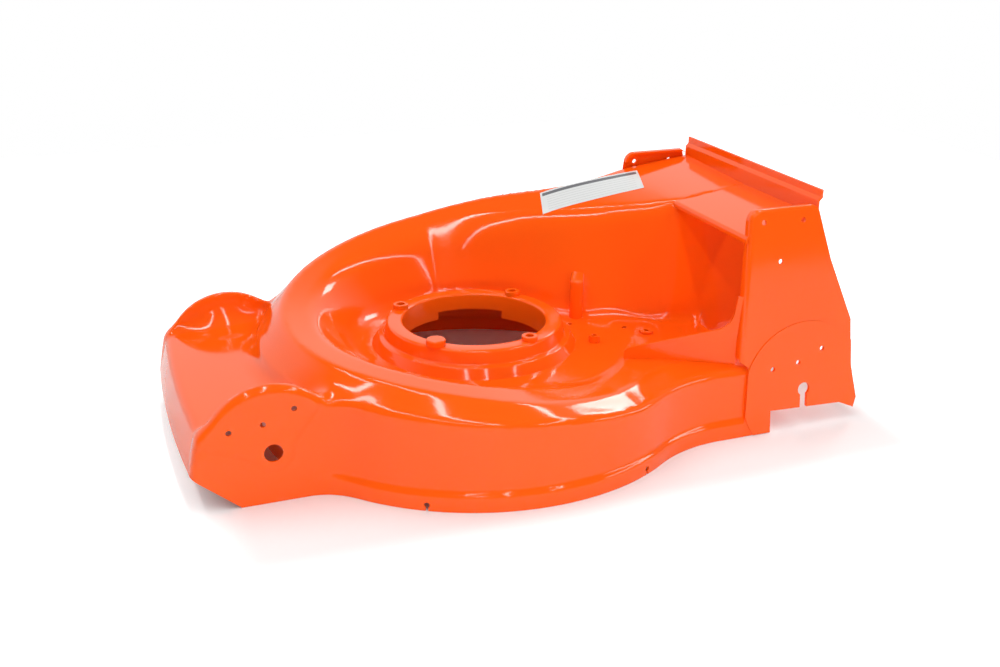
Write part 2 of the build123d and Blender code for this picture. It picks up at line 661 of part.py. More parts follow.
def main():
    os.makedirs("parts", exist_ok=True)
    left = side_plate(FLANGE_FROM_LEFT)
    right = mirror(side_plate(FLANGE_FROM_RIGHT), about=Plane.XZ)
    chamber = chamber_body()
    hollows = chamber_hollows()
    export("deck_shell", deck_shell(chamber, hollows, [left, right]))
    export("front_apron", front_apron(chamber))
    export("top_panel", panel_body() - chamber - left)
    export("side_plate_left", left)
    export("side_plate_right", right)
    export("flap_rail", flap_rail())
    export("belt_guard", belt_guard() - chamber - left)
    export("engine_collars", *engine_collars())
    export("engine_rest_pad", engine_rest_pad())
    export("platform_bosses", *platform_bosses())


main()
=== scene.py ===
import math

import bmesh
import bpy
import numpy as np
from mathutils import Matrix, Vector


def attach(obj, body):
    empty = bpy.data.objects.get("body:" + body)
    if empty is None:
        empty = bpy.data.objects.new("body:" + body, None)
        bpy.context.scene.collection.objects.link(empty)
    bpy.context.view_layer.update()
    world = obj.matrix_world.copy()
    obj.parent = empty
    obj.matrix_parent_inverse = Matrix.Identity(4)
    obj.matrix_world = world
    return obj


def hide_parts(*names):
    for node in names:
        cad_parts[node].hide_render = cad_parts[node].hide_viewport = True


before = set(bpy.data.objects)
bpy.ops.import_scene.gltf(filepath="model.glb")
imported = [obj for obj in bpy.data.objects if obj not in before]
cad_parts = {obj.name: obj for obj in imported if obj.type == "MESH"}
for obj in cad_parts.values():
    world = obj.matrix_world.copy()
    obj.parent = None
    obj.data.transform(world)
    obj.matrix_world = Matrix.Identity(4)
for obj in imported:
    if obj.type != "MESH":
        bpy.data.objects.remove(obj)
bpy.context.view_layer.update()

# Sizes of the pressing in millimetres, with heights above the floor, as in the solids
SEAT_HEIGHT = 123.0
SHEET = 2.5
SKIRT_RADIUS = 277.0
SKIRT_HALF_WIDTH = 201.0
SKIRT_WAIST_RADIUS = 172.0
SKIRT_REAR = 306.0
SIDE_LEAN = 0.1157
BAND_HEIGHT = 18.0
JOGGLE_TOP = 24.0
JOGGLE_STEP = 4.5
WALL_DRAFT = 2.0
SILL_HEIGHT = 86.0
SILL_WIDTH = 30.0
PLATFORM_HEIGHT = 93.0
PLATE_SHEET = 3.0
VOLUTE_START = -65.0
VOLUTE_TURN = 205.0
VOLUTE_EDGE_RADIUS = 240.0
RAMP_ROUND = [(0, 92.3), (25, 108), (45, 120.5), (70, 131), (115, 142), (160, 166), (205, 196)]
WALL_ROUND = [(0, 85.4), (25, 99), (45, 104), (70, 110), (115, 112), (160, 132), (205, 164)]
CREST_ROUND = [(0, 203), (25, 195), (45, 203), (70, 205), (115, 203), (160, 195), (205, 186)]
DROP_ROUND = [(0, 0.2), (70, 0.2), (115, 3), (160, 8), (205, 14)]
FOOT_ROUND = [(0, 190), (25, 150), (45, 137), (70, 134), (115, 135), (160, 141), (205, 145)]
ROLL_ROUND = [(0, 8), (45, 10), (70, 12), (115, 25), (160, 45), (205, 55)]
TUNNEL_REAR = 385.0
RAMP_STRAIGHT = [(0, 196), (100, 218), (200, 241), (290, 259), (390, 272)]
WALL_STRAIGHT = [(0, 164), (100, 190), (200, 222), (290, 252), (390, 266)]
CREST_STRAIGHT = [(0, 186), (60, 174), (110, 148), (160, 108), (210, 64), (255, 24), (290, 6), (390, 2)]
DROP_STRAIGHT = [(0, 14), (100, 17), (160, 18), (210, 17), (255, 13), (290, 8), (390, 6)]
FOOT_STRAIGHT = [(0, 145), (60, 131), (110, 90), (145, 46), (175, 15), (222, -8), (267, -33), (390, -35)]
ROLL_STRAIGHT = [(0, 55), (100, 55), (200, 45), (265, 24), (290, 5), (390, 4)]
SHOULDER_STRAIGHT = [(0, 30), (100, 28), (200, 22), (290, 7), (390, 6)]
LEAN_START = 100.0
LEAN_RUN = 150.0
WALL_EDGE_ROUND = 7.0
SHOULDER_EDGE_ROUND = 10.0
FOOT_DEPTH = 13.0
FOOT_BLEND = 16.0
FOOT_BLEND_START = 12.0
FOOT_BLEND_RUN = 30.0
TUNNEL_BOTTOM = 60.0
TUNNEL_OPEN_RISE = 12.0
PANEL_FRONT = 283.0
PANEL_HEM = 8.0
PANEL_HEM_RADIUS = 5.0
RIB_PLACE = (157.0, 31.0)
RIB_RADIUS = 9.0
RIB_ROUND = 4.0
RIB_TOP = 147.0
RIB_TURN = 63.0
RIB_REACH = 50.0
RIB_FOOT = 1.5
OPENING_RADIUS = 91.0
SEAT_RADIUS = 111.0
SEAT_STEP_RADIUS = 121.0
SEAT_STEP_HEIGHT = 105.0
SEAT_BASE_RADIUS = 129.0
SEAT_DRAFT = 4.0
SEAT_ROUNDS = [0, 3, 3, 2.5, 4, 3, 0, 0, 0.5, 1.5, 4, 1, 0]
SEAT_STEPS = 192
NOTCH_HEIGHT = 101.0
NOTCH_BOTTOM = 70.0
NOTCH_RADII = (84.0, 97.0)
NOTCH_ANGLES = (46.0, 102.0)
BOLT_CIRCLE = 203.2
BOLT_ANGLES = (140.0, 40.0, -68.0)
BOLT_HOLE_RADIUS = 4.8
COLLAR_RADIUS = 10.0
COLLAR_HEIGHT = 6.0
COLLAR_SINK = 1.0
COLLAR_ROUND = 0.9
STICKER_CORNERS = ((161, 173), (296, 140), (275, 77), (147, 128))
STICKER_LIFT = 0.35
STICKER_THICKNESS = 0.2
STICKER_GRID = (49, 25)
STICKER_SEARCH = (PLATFORM_HEIGHT, 290.0)
STICKER_HALVINGS = 24
BRACKET_HALF_WIDTH = 163.4
APRON_OUTLINE = [(-386, -30), (-386, 43), (-383, 57), (-374, 93), (-200, 103), (-150, 106), (-150, -30)]
APRON_ROUNDS = [0, 8, 14, 12, 0, 0, 0]
BOW_RADIUS = 1900.0
LIP_HEIGHT = 43.0
BRACKET_FOOT = -328.0
FRONT_AXLE = (-290.0, 61.0)
FRONT_AXLE_RADIUS = 10.5
HUMP_RADIUS = 78.0
HUMP_RIM = 12.0
HUMP_COVE_RADIUS = 45.0
HUMP_RUN_OUT = 16.0
BRACKET_EDGE_ROUND = 9.0
FRONT_RUN_OUT = 26.0
FAN_RISE = 1.3
FAN_RADIUS = 90.0
FAN_BOSS_RADIUS = 22.0
FAN_BOSS_LIFT = 8.0
FAN_FRONT = (-322.0, 60.0)
FAN_BOSS_ARC = (205.0, 360.0)
FAN_RIM_ARC = (44.0, 166.0)
FAN_SLOPE = 2.0
SCREW_RADIUS = 3.2
HEIGHT_HOLES = ((-46.3, 31.4), (-9.5, 35.6), (25.0, 49.5))
DRAIN_ANGLES = (-120.4, -63.0)
DRAIN_HOLE_HEIGHT = 7.0
DRAIN_SLOT_WIDTH = 3.0
DRAIN_BOTTOM = -4.0
DRAIN_NECK = 0.36 * math.pi
DRAIN_CUT = 8.0
PLATFORM_HOLES = ((139.0, 9.2), (198.0, -33.0), (142.6, -58.0), (215.6, -60.8))
PLATE_OUTLINE = [(284, -5), (322, -5), (322, 28), (424, 24.5), (446, 15), (450, 28), (440, 72), (437, 132),
                 (403, 212), (382, 277), (376, 281), (288, 281), (277, 97), (289, 88)]
SKIRT_ROUNDS = [0, 5, 6, 9, 60, 0, 0]
EDGE_BREAK = 0.6
SHARP_EDGE = math.radians(35)
BELOW_FLOOR = -30
SKIRT_INSIDE = -320

# Spans and steps of the grids that the sheets are drawn from, in millimetres
SHELL_BACK = (-283, 393, 4.5)
SHELL_ACROSS = (-283.5, 283.5, 4.5)
SHELL_HEIGHTS = ((-9, 12, 4.2), (12, 30, 2.0), (30, 281, 4.5))
FRONT_BACK = (-391, -170, 2.7)
FRONT_ACROSS = (-190, 190, 3.6)
FRONT_HEIGHTS = (-9, 148, 2.8)
VOLUTE_ACROSS = (-62, 302)
VOLUTE_HEIGHTS = (40, 292)
VOLUTE_STEP = 1.5
ROUND_STEP = 5.0
STRAIGHT_STEP = 10.0
ROUND_STATIONS = int(VOLUTE_TURN / ROUND_STEP)
PROBE = 0.8
LARGEST_MOVE = 3.0
CLEAR_OF_SHELL = 0.03

# Lengths of the cutters that go through the sheet
SEAT_CUT = 60.0
PLATFORM_CUT = 20.0
PLATE_CUT = 40.0
BRACKET_CUT = 16.0
BOLT_CUT = 24.0

# Print of the label, in parts of its length and height
BAND_MIDDLE = 0.86
BAND_REACH = (0.48, 0.07)
RULES_FIELD = (0.08, 0.7)
RULES_REACH = 0.44
RULE_WIDTH = 0.12
RULE_STRENGTH = 0.4

# Studio: lengths in metres, turns in radians, the lens in millimetres
CAMERA_SPOT = (-0.46514, -1.29737, 0.52377)
CAMERA_TURN = (0.3684, 0.3769, 0.010)
CAMERA_LENS = 41.630292
FLOOR_HALF = 1.7
FLOOR_GAP = 0.0002
FLOOR_LIFT = 0.5
FLOOR_FADE = 0.09
FOOTPRINT_CENTRE = (0.065, 0.0, -0.1232)
FOOTPRINT_HALF = (0.385, 0.27, 0.0)
SURROUND_BEHIND = (-0.15, 0.45)
SURROUND_LOW = (0.72, 0.52)
SURROUND_DIM = 0.08

# Name, place, aim, width, height, watts, and whether the lamp shows in the gloss of the paint
LAMPS = (
    ("overhead_fill", (0.0, -0.1, 2.6), (0, 0, 0), 3.2, 3.0, 14, False),
    ("front_fill", (-0.7, -2.4, 0.2), (0, 0, -0.05), 2.4, 0.4, 18, False),
    ("strip_left", (-1.1, -1.6, 2.2), (-1.1, -1.6, 0), 0.1, 6.0, 32, True),
    ("strip_middle", (-0.15, -1.6, 2.2), (-0.15, -1.6, 0), 0.1, 6.0, 32, True),
    ("strip_right", (1.45, -1.6, 2.2), (1.45, -1.6, 0), 0.1, 6.0, 32, True),
    ("rear_right_box", (2.5, 1.72, 2.1), (0.2, -0.2, 0.0), 0.75, 0.6, 15, True),
    ("right_strip", (2.4, -1.25, 0.75), (0.25, -0.2, 0), 1.5, 0.22, 9, True),
)


def smooth(pairs, place):
    """Value at a place on the smooth curve through given (place, value) pairs."""
    places = [p for p, _ in pairs]
    values = [v for _, v in pairs]
    last = len(pairs) - 1
    slopes = []
    for i in range(len(pairs)):
        low, high = max(i - 1, 0), min(i + 1, last)
        slopes.append((values[high] - values[low]) / (places[high] - places[low]))
    i = 0
    while i < last - 1 and place > places[i + 1]:
        i += 1
    span = places[i + 1] - places[i]
    s = (place - places[i]) / span
    level = values[i] * (1 + 2 * s) * (1 - s) ** 2 + values[i + 1] * s * s * (3 - 2 * s)
    return level + span * s * (1 - s) * (slopes[i] * (1 - s) - slopes[i + 1] * s)


def rounded(points, rounds, steps=10):
    """A closed outline with each corner rounded by its own radius."""
    result = []
    count = len(points)
    for i, radius in enumerate(rounds):
        corner = np.array(points[i], float)
        back = np.array(points[i - 1], float) - corner
        ahead = np.array(points[(i + 1) % count], float) - corner
        back_length, ahead_length = np.linalg.norm(back), np.linalg.norm(ahead)
        back, ahead = back / back_length, ahead / ahead_length
        angle = math.acos(float(np.clip(back @ ahead, -1, 1)))
        if radius < 0.05 or angle > math.radians(179):
            result.append(corner)
            continue
        run = min(radius / math.tan(angle / 2), 0.48 * back_length, 0.48 * ahead_length)
        radius = run * math.tan(angle / 2)
        middle = back + ahead
        centre = corner + middle / np.linalg.norm(middle) * radius / math.sin(angle / 2)
        start, end = corner + back * run - centre, corner + ahead * run - centre
        first = math.atan2(start[1], start[0])
        turn = (math.atan2(end[1], end[0]) - first + math.pi) % (2 * math.pi) - math.pi
        for k in range(steps + 1):
            a = first + turn * k / steps
            result.append(centre + radius * np.array([math.cos(a), math.sin(a)]))
    return np.array(result)


def outline_distance(outline, u, z):
    """Signed distance from points to a closed outline, negative inside."""
    nearest = np.full(u.shape, 1e9, np.float32)
    inside = np.zeros(u.shape, bool)
    for (ax, ay), (bx, by) in zip(outline, np.roll(outline, -1, axis=0)):
        dx, dy = bx - ax, by - ay
        length = dx * dx + dy * dy
        if length < 1e-12:
            continue
        t = np.clip(((u - ax) * dx + (z - ay) * dy) / length, 0, 1)
        gap = (u - ax - t * dx) ** 2 + (z - ay - t * dy) ** 2
        nearest = np.minimum(nearest, gap)
        if ay != by:
            crossed = ((ay > z) != (by > z)) & (u < dx * (z - ay) / dy + ax)
            inside ^= crossed
    return np.where(inside, -np.sqrt(nearest), np.sqrt(nearest))


class Table:
    """Distances kept on an even grid, read back between its points."""

    def __init__(self, values, lows, steps):
        self.values = np.ascontiguousarray(values, np.float32)
        self.lows = lows
        self.steps = steps

    def at(self, *places):
        cells, parts = [], []
        for axis, (place, low, step) in enumerate(zip(places, self.lows, self.steps)):
            spot = np.clip((place - low) / step, 0, self.values.shape[axis] - 1.001)
            cell = spot.astype(np.int32)
            cells.append(cell)
            parts.append((spot - cell).astype(np.float32))
        total = 0
        for corner in range(2 ** len(places)):
            weight, index = 1, []
            for axis, (cell, part) in enumerate(zip(cells, parts)):
                high = corner >> axis & 1
                index.append(cell + high)
                weight = weight * (part if high else 1 - part)
            total = total + weight * self.values[tuple(index)]
        return total


def section_table(outline, low, high, step):
    """Table of the distance to one outline over a rectangle."""
    u = np.arange(low[0], high[0] + step, step, dtype=np.float32)
    z = np.arange(low[1], high[1] + step, step, dtype=np.float32)
    grid = np.meshgrid(u, z, indexing="ij")
    return Table(outline_distance(outline, *grid), low, (step, step))


def soft_min(a, b, k):
    """The nearer of two distances, with the corner between them filled over a width."""
    k = np.maximum(k, 1e-3)
    h = np.clip(0.5 + 0.5 * (b - a) / k, 0, 1)
    return b + (a - b) * h - k * h * (1 - h)


def soft_max(a, b, k):
    return -soft_min(-a, -b, k)


def wall_half_width(height):
    """Half width over the sheet that the side plates lie against."""
    return SKIRT_HALF_WIDTH - SIDE_LEAN * height - PLATE_SHEET * math.hypot(1, SIDE_LEAN)


def waist_line(x):
    """Half width of the wall at the height of the sill, at a distance behind the crank axis."""
    radius = SKIRT_RADIUS - JOGGLE_STEP - WALL_DRAFT
    half_width = wall_half_width(SILL_HEIGHT)
    waist = SKIRT_WAIST_RADIUS + SKIRT_HALF_WIDTH - half_width
    waist_x = math.sqrt((radius + waist) ** 2 - (half_width + waist) ** 2)
    leave_x = waist_x * radius / (radius + waist)
    if x < leave_x:
        return math.sqrt(radius ** 2 - x ** 2)
    if x < waist_x:
        return half_width + waist - math.sqrt(waist ** 2 - (waist_x - x) ** 2)
    return half_width


def round_outline(turned):
    """Cross-section of the volute where it runs round the crank axis."""
    wall = SKIRT_RADIUS - JOGGLE_STEP - WALL_DRAFT
    top = smooth(RAMP_ROUND, turned)
    foot = smooth(FOOT_ROUND, turned)
    points = [(wall, BELOW_FLOOR), (wall, smooth(WALL_ROUND, turned)), (VOLUTE_EDGE_RADIUS, top),
              (smooth(CREST_ROUND, turned), top - smooth(DROP_ROUND, turned)),
              (foot, PLATFORM_HEIGHT - FOOT_DEPTH), (foot, BELOW_FLOOR)]
    rounds = [0, WALL_EDGE_ROUND, SHOULDER_EDGE_ROUND, smooth(ROLL_ROUND, turned), 5, 0]
    return rounded(points, rounds)


def straight_outline(x):
    """Cross-section of the tunnel where it runs straight to the rear."""
    wall_top = smooth(WALL_STRAIGHT, x)
    sill = waist_line(x)
    lean = SIDE_LEAN * min(max((x - LEAN_START) / LEAN_RUN, 0), 1)
    wall = sill - lean * (wall_top - SILL_HEIGHT)
    top = smooth(RAMP_STRAIGHT, x)
    foot = smooth(FOOT_STRAIGHT, x)
    base = BELOW_FLOOR if x < SKIRT_REAR - 2 else TUNNEL_BOTTOM
    points = [(sill + lean * (SILL_HEIGHT - base), base), (wall, wall_top),
              (wall - smooth(SHOULDER_STRAIGHT, x), top),
              (smooth(CREST_STRAIGHT, x), top - smooth(DROP_STRAIGHT, x)),
              (foot, PLATFORM_HEIGHT - FOOT_DEPTH), (foot, base)]
    rounds = [0, WALL_EDGE_ROUND, SHOULDER_EDGE_ROUND, smooth(ROLL_STRAIGHT, x), 5, 0]
    return rounded(points, rounds)


def volute_table():
    """Distances to the volute's cross-section at every station along it."""
    step = VOLUTE_STEP
    u = np.arange(*VOLUTE_ACROSS, step, dtype=np.float32)
    z = np.arange(*VOLUTE_HEIGHTS, step, dtype=np.float32)
    grid = np.meshgrid(u, z, indexing="ij")
    outlines = [round_outline(i * ROUND_STEP) for i in range(ROUND_STATIONS)]
    outlines += [straight_outline(x) for x in np.arange(0, 401, STRAIGHT_STEP)]
    values = np.stack([outline_distance(o, *grid) for o in outlines])
    return Table(values, (0, VOLUTE_ACROSS[0], VOLUTE_HEIGHTS[0]), (1, step, step))


def skirt_table():
    """Distances to the skirt's profile by depth inside its lower edge and height."""
    wall = JOGGLE_STEP + WALL_DRAFT
    points = [(0, BELOW_FLOOR), (0, BAND_HEIGHT), (-JOGGLE_STEP, JOGGLE_TOP), (-wall, SILL_HEIGHT),
              (-wall - SILL_WIDTH, PLATFORM_HEIGHT), (SKIRT_INSIDE, PLATFORM_HEIGHT),
              (SKIRT_INSIDE, BELOW_FLOOR)]
    return section_table(rounded(points, SKIRT_ROUNDS), (SKIRT_INSIDE, BELOW_FLOOR), (60, 130), 0.75)


def apron_table():
    return section_table(rounded(APRON_OUTLINE, APRON_ROUNDS), (-420, -30), (-150, 180), 1.0)


def hump_table():
    """Distances to the wheel flare's profile by depth behind the bracket's face and radius about the axle."""
    centre = HUMP_RIM + HUMP_COVE_RADIUS
    cove = [(centre - HUMP_COVE_RADIUS * math.cos(a), HUMP_RADIUS - HUMP_COVE_RADIUS * math.sin(a))
            for a in np.linspace(0, math.pi / 2, 16)]
    outline = np.array([(-40, -20), (-40, HUMP_RADIUS), *cove, (centre, -20)])
    return section_table(outline, (-40, 0), (100, 120), 1.0)


def fan_table():
    """Distances to the raised fan on the wheel bracket, in the bracket's own plane."""
    x, z = FRONT_AXLE
    boss = [(x + FAN_BOSS_RADIUS * math.cos(a), z + FAN_BOSS_RADIUS * math.sin(a))
            for a in np.radians(np.linspace(*FAN_BOSS_ARC, 24))]
    rim = [(x + FAN_RADIUS * math.cos(a), z + FAN_RADIUS * math.sin(a))
           for a in np.radians(np.linspace(*FAN_RIM_ARC, 24))]
    outline = np.array([FAN_FRONT, *boss, (x + FAN_BOSS_RADIUS, z + FAN_BOSS_LIFT), *rim])
    return section_table(outline, (-400, -30), (-180, 180), 1.0)


VOLUTE = volute_table()
SKIRT = skirt_table()
APRON = apron_table()
HUMP = hump_table()
FAN = fan_table()


def side_depth(x, y, z):
    """Signed distance in plan to the skirt's lower edge, leaning in with height at the sides."""
    level = np.clip(z, 0, PLATFORM_HEIGHT)
    inset = np.interp(level, [BAND_HEIGHT, JOGGLE_TOP, SILL_HEIGHT],
                      [0, JOGGLE_STEP, JOGGLE_STEP + WALL_DRAFT])
    gap = np.interp(level, [BAND_HEIGHT, JOGGLE_TOP], [0, PLATE_SHEET * math.hypot(1, SIDE_LEAN)])
    half_width = SKIRT_HALF_WIDTH - SIDE_LEAN * level - gap + inset
    waist = SKIRT_WAIST_RADIUS + SKIRT_HALF_WIDTH - half_width
    across = np.abs(y)
    waist_x = np.sqrt((SKIRT_RADIUS + waist) ** 2 - (half_width + waist) ** 2)
    waist_y = half_width + waist
    ring = np.hypot(x, y) - SKIRT_RADIUS
    strip = np.where(x > 0, across - half_width, np.hypot(x, np.maximum(across - half_width, 0)))
    plain = np.minimum(ring, strip)
    dx, dy = x - waist_x, across - waist_y
    in_waist = (dy < 0) & (dx < 0) & (dx * waist_y - dy * waist_x > 0)
    return np.where(in_waist, waist - np.hypot(dx, dy), plain)


def volute_distance(x, y, z):
    """Signed distance to the volute and the tunnel."""
    radius = np.hypot(x, y)
    turned = (VOLUTE_START - np.degrees(np.arctan2(y, x))) % 360
    turned = np.where(turned > 0.5 * (VOLUTE_TURN + 360), 0, np.minimum(turned, VOLUTE_TURN))
    ring = VOLUTE.at(turned / ROUND_STEP, radius, z)
    tunnel = VOLUTE.at(ROUND_STATIONS + x / STRAIGHT_STEP, y, z)
    return np.where(x < 0, ring, np.where(y > 0, tunnel, np.minimum(ring, tunnel)))


def chamber_distance(x, y, z):
    """Signed distance to the outside of the main pressing, without its engine seat."""
    depth = side_depth(x, y, z)
    skirt = np.maximum(SKIRT.at(depth, z), x - SKIRT_REAR)
    blend = FOOT_BLEND * np.clip((-depth - FOOT_BLEND_START) / FOOT_BLEND_RUN, 0, 1)
    return soft_min(skirt, volute_distance(x, y, z), blend)


def apron_distance(x, y, z):
    """Signed distance to the outside of the front pressing."""
    bow = BOW_RADIUS - np.sqrt(BOW_RADIUS ** 2 - np.clip(y, -300, 300) ** 2)
    nose = APRON.at(x - bow, z)
    out, up = x - FRONT_AXLE[0], np.maximum(z - FRONT_AXLE[1], 0)
    hump = HUMP.at(BRACKET_HALF_WIDTH - np.abs(y), np.hypot(out, up))
    fan = FAN_RISE * np.clip(0.5 - FAN.at(x, z) / FAN_SLOPE, 0, 1)
    sides = np.abs(y) - BRACKET_HALF_WIDTH - fan
    return soft_max(soft_min(nose, hump, HUMP_RUN_OUT), sides, BRACKET_EDGE_ROUND)


def front_distance(x, y, z):
    """Signed distance to the front pressing, run out smoothly on to the main one."""
    return soft_min(apron_distance(x, y, z), chamber_distance(x, y, z), FRONT_RUN_OUT)


def surface_net(distance, xs, ys, zs):
    """Quads on the zero level of a distance over a grid, with their points set exactly on it."""
    grid = np.meshgrid(*[np.asarray(a, np.float32) for a in (xs, ys, zs)], indexing="ij")
    field = distance(*grid).astype(np.float32)
    inside = field < 0
    shape = tuple(n - 1 for n in field.shape)
    corners = [(i, j, k) for i in (0, 1) for j in (0, 1) for k in (0, 1)]

    def corner(array, c):
        return array[c[0]:c[0] + shape[0], c[1]:c[1] + shape[1], c[2]:c[2] + shape[2]]

    count = sum(corner(inside, c).astype(np.int8) for c in corners)
    active = (count > 0) & (count < 8)
    cells = np.argwhere(active)
    number = np.full(shape, -1, np.int64)
    number[active] = np.arange(len(cells))
    total, hits = np.zeros((len(cells), 3)), np.zeros(len(cells))
    for a in corners:
        for axis in range(3):
            if a[axis]:
                continue
            b = tuple(1 if i == axis else v for i, v in enumerate(a))
            fa = field[tuple((cells + a).T)]
            fb = field[tuple((cells + b).T)]
            cross = (fa < 0) != (fb < 0)
            t = np.where(cross, fa / np.where(cross, fa - fb, 1), 0)
            pa = np.stack([g[tuple((cells + a).T)] for g in grid], 1)
            pb = np.stack([g[tuple((cells + b).T)] for g in grid], 1)
            total += np.where(cross[:, None], pa + (pb - pa) * t[:, None], 0)
            hits += cross
    points = total / hits[:, None]
    quads = []
    for axis in range(3):
        low = np.take(inside, range(shape[axis]), axis=axis)
        high = np.take(inside, range(1, shape[axis] + 1), axis=axis)
        one, two = [i for i in range(3) if i != axis]
        edges = np.argwhere(low != high)
        edges = edges[(edges[:, one] > 0) & (edges[:, two] > 0)]
        edges = edges[(edges[:, one] < shape[one]) & (edges[:, two] < shape[two])]
        outward = low[tuple(edges.T)]
        ring = []
        for step in ((0, 0), (1, 0), (1, 1), (0, 1)):
            cell = edges.copy()
            cell[:, one] -= 1 - step[0]
            cell[:, two] -= 1 - step[1]
            ring.append(number[tuple(cell.T)])
        quad = np.stack(ring, 1)
        flip = outward if axis == 1 else ~outward
        quad[flip] = quad[flip][:, ::-1]
        quads.append(quad)
    quads = np.concatenate(quads)
    for turn in range(4):
        if 0 < turn < 3:
            points = eased(points, quads)
        points = set_on(distance, points)
    return points, quads


def eased(points, quads):
    """Each point moved half way to the middle of its neighbours."""
    total, hits = np.zeros_like(points), np.zeros(len(points))
    for i in range(4):
        a, b = quads[:, i], quads[:, (i + 1) % 4]
        for near, far in ((a, b), (b, a)):
            np.add.at(total, near, points[far])
            np.add.at(hits, near, 1)
    return 0.5 * points + 0.5 * total / np.maximum(hits, 1)[:, None]


def set_on(distance, points):
    """Points moved along the slope of a distance on to its zero level."""
    for _ in range(2):
        level = distance(*points.T)
        slope = []
        for axis in range(3):
            step = np.zeros(3)
            step[axis] = PROBE
            slope.append((distance(*(points + step).T) - distance(*(points - step).T)) / (2 * PROBE))
        slope = np.stack(slope, 1)
        size = np.maximum((slope ** 2).sum(1), 0.2)
        points = points - np.clip(level / size, -LARGEST_MOVE, LARGEST_MOVE)[:, None] * slope
    return points


def place(x, y, z):
    """A point of the frame in metres from millimetres above the floor."""
    return Vector((x * 0.001, y * 0.001, (z - SEAT_HEIGHT) * 0.001))


def bm_from(points, faces):
    """A mesh in the frame from points in millimetres above the floor."""
    mesh = bpy.data.meshes.new("skin")
    local = (np.asarray(points, float) - (0, 0, SEAT_HEIGHT)) * 0.001
    mesh.from_pydata(local.tolist(), [], np.asarray(faces).tolist())
    bm = bmesh.new()
    bm.from_mesh(mesh)
    bpy.data.meshes.remove(mesh)
    return bm


def cut_below(bm, point, normal, chosen=None):
    """The mesh cut through by a plane, with what lies on the side of its normal taken away."""
    faces = bm.faces if chosen is None else [f for f in bm.faces if chosen(f.calc_center_median())]
    geom = set(faces)
    for face in list(geom):
        geom.update(face.edges)
        geom.update(face.verts)
    bmesh.ops.bisect_plane(bm, geom=list(geom), plane_co=point, plane_no=normal, clear_outer=True, dist=1e-6)


def new_object(name, bm):
    mesh = bpy.data.meshes.new(name)
    bm.to_mesh(mesh)
    bm.free()
    obj = bpy.data.objects.new(name, mesh)
    bpy.context.scene.collection.objects.link(obj)
    return obj


def baked(obj):
    """The object with its modifiers worked into its mesh."""
    depsgraph = bpy.context.evaluated_depsgraph_get()
    mesh = bpy.data.meshes.new_from_object(obj.evaluated_get(depsgraph))
    obj.modifiers.clear()
    old, obj.data = obj.data, mesh
    bpy.data.meshes.remove(old)
    return obj


def thickened(obj, thickness):
    """A skin given its sheet thickness on the inside, with its rim no lower than the floor."""
    solid = obj.modifiers.new("sheet", "SOLIDIFY")
    solid.thickness = thickness * 0.001
    solid.offset = -1
    solid.use_even_offset = True
    solid.thickness_clamp = 0
    baked(obj)
    for vert in obj.data.vertices:
        vert.co.z = max(vert.co.z, -SEAT_HEIGHT * 0.001)
    return obj


def cylinder(bm, radius, length, centre, axis, sides=40):
    """A closed cylinder added to a mesh, in millimetres."""
    turn = Vector((0, 0, 1)).rotation_difference(Vector(axis)).to_matrix().to_4x4()
    bmesh.ops.create_cone(bm, cap_ends=True, segments=sides, radius1=radius * 0.001, radius2=radius * 0.001,
                          depth=length * 0.001, matrix=Matrix.Translation(place(*centre)) @ turn)


def prism(bm, outline, plane, low, high):
    """A closed prism added to a mesh: an outline on a plane, carried between two distances from it."""
    bottom = [bm.verts.new(plane(u, v, low)) for u, v in outline]
    top = [bm.verts.new(plane(u, v, high)) for u, v in outline]
    count = len(outline)
    bm.faces.new(bottom[::-1])
    bm.faces.new(top)
    for i in range(count):
        bm.faces.new((bottom[i], bottom[(i + 1) % count], top[(i + 1) % count], top[i]))


def carved(obj, cutter):
    """The object with the cutter taken out of it."""
    bmesh.ops.recalc_face_normals(cutter, faces=cutter.faces)
    tool = new_object("cutter", cutter)
    boolean = obj.modifiers.new("cut", "BOOLEAN")
    boolean.operation = "DIFFERENCE"
    boolean.solver = "MANIFOLD"
    boolean.object = tool
    baked(obj)
    bpy.data.objects.remove(tool)
    return obj


def side_place(side):
    """Points on the sloping plane of a side plate, by distance back, height and distance outwards."""
    size = math.hypot(1, SIDE_LEAN)

    def at(x, z, out):
        y = wall_half_width(0) - SIDE_LEAN * z + out / size
        return place(x, side * y, z + out * SIDE_LEAN / size)

    return at


def even(low, high, step):
    return np.linspace(low, high, int(round((high - low) / step)) + 1)


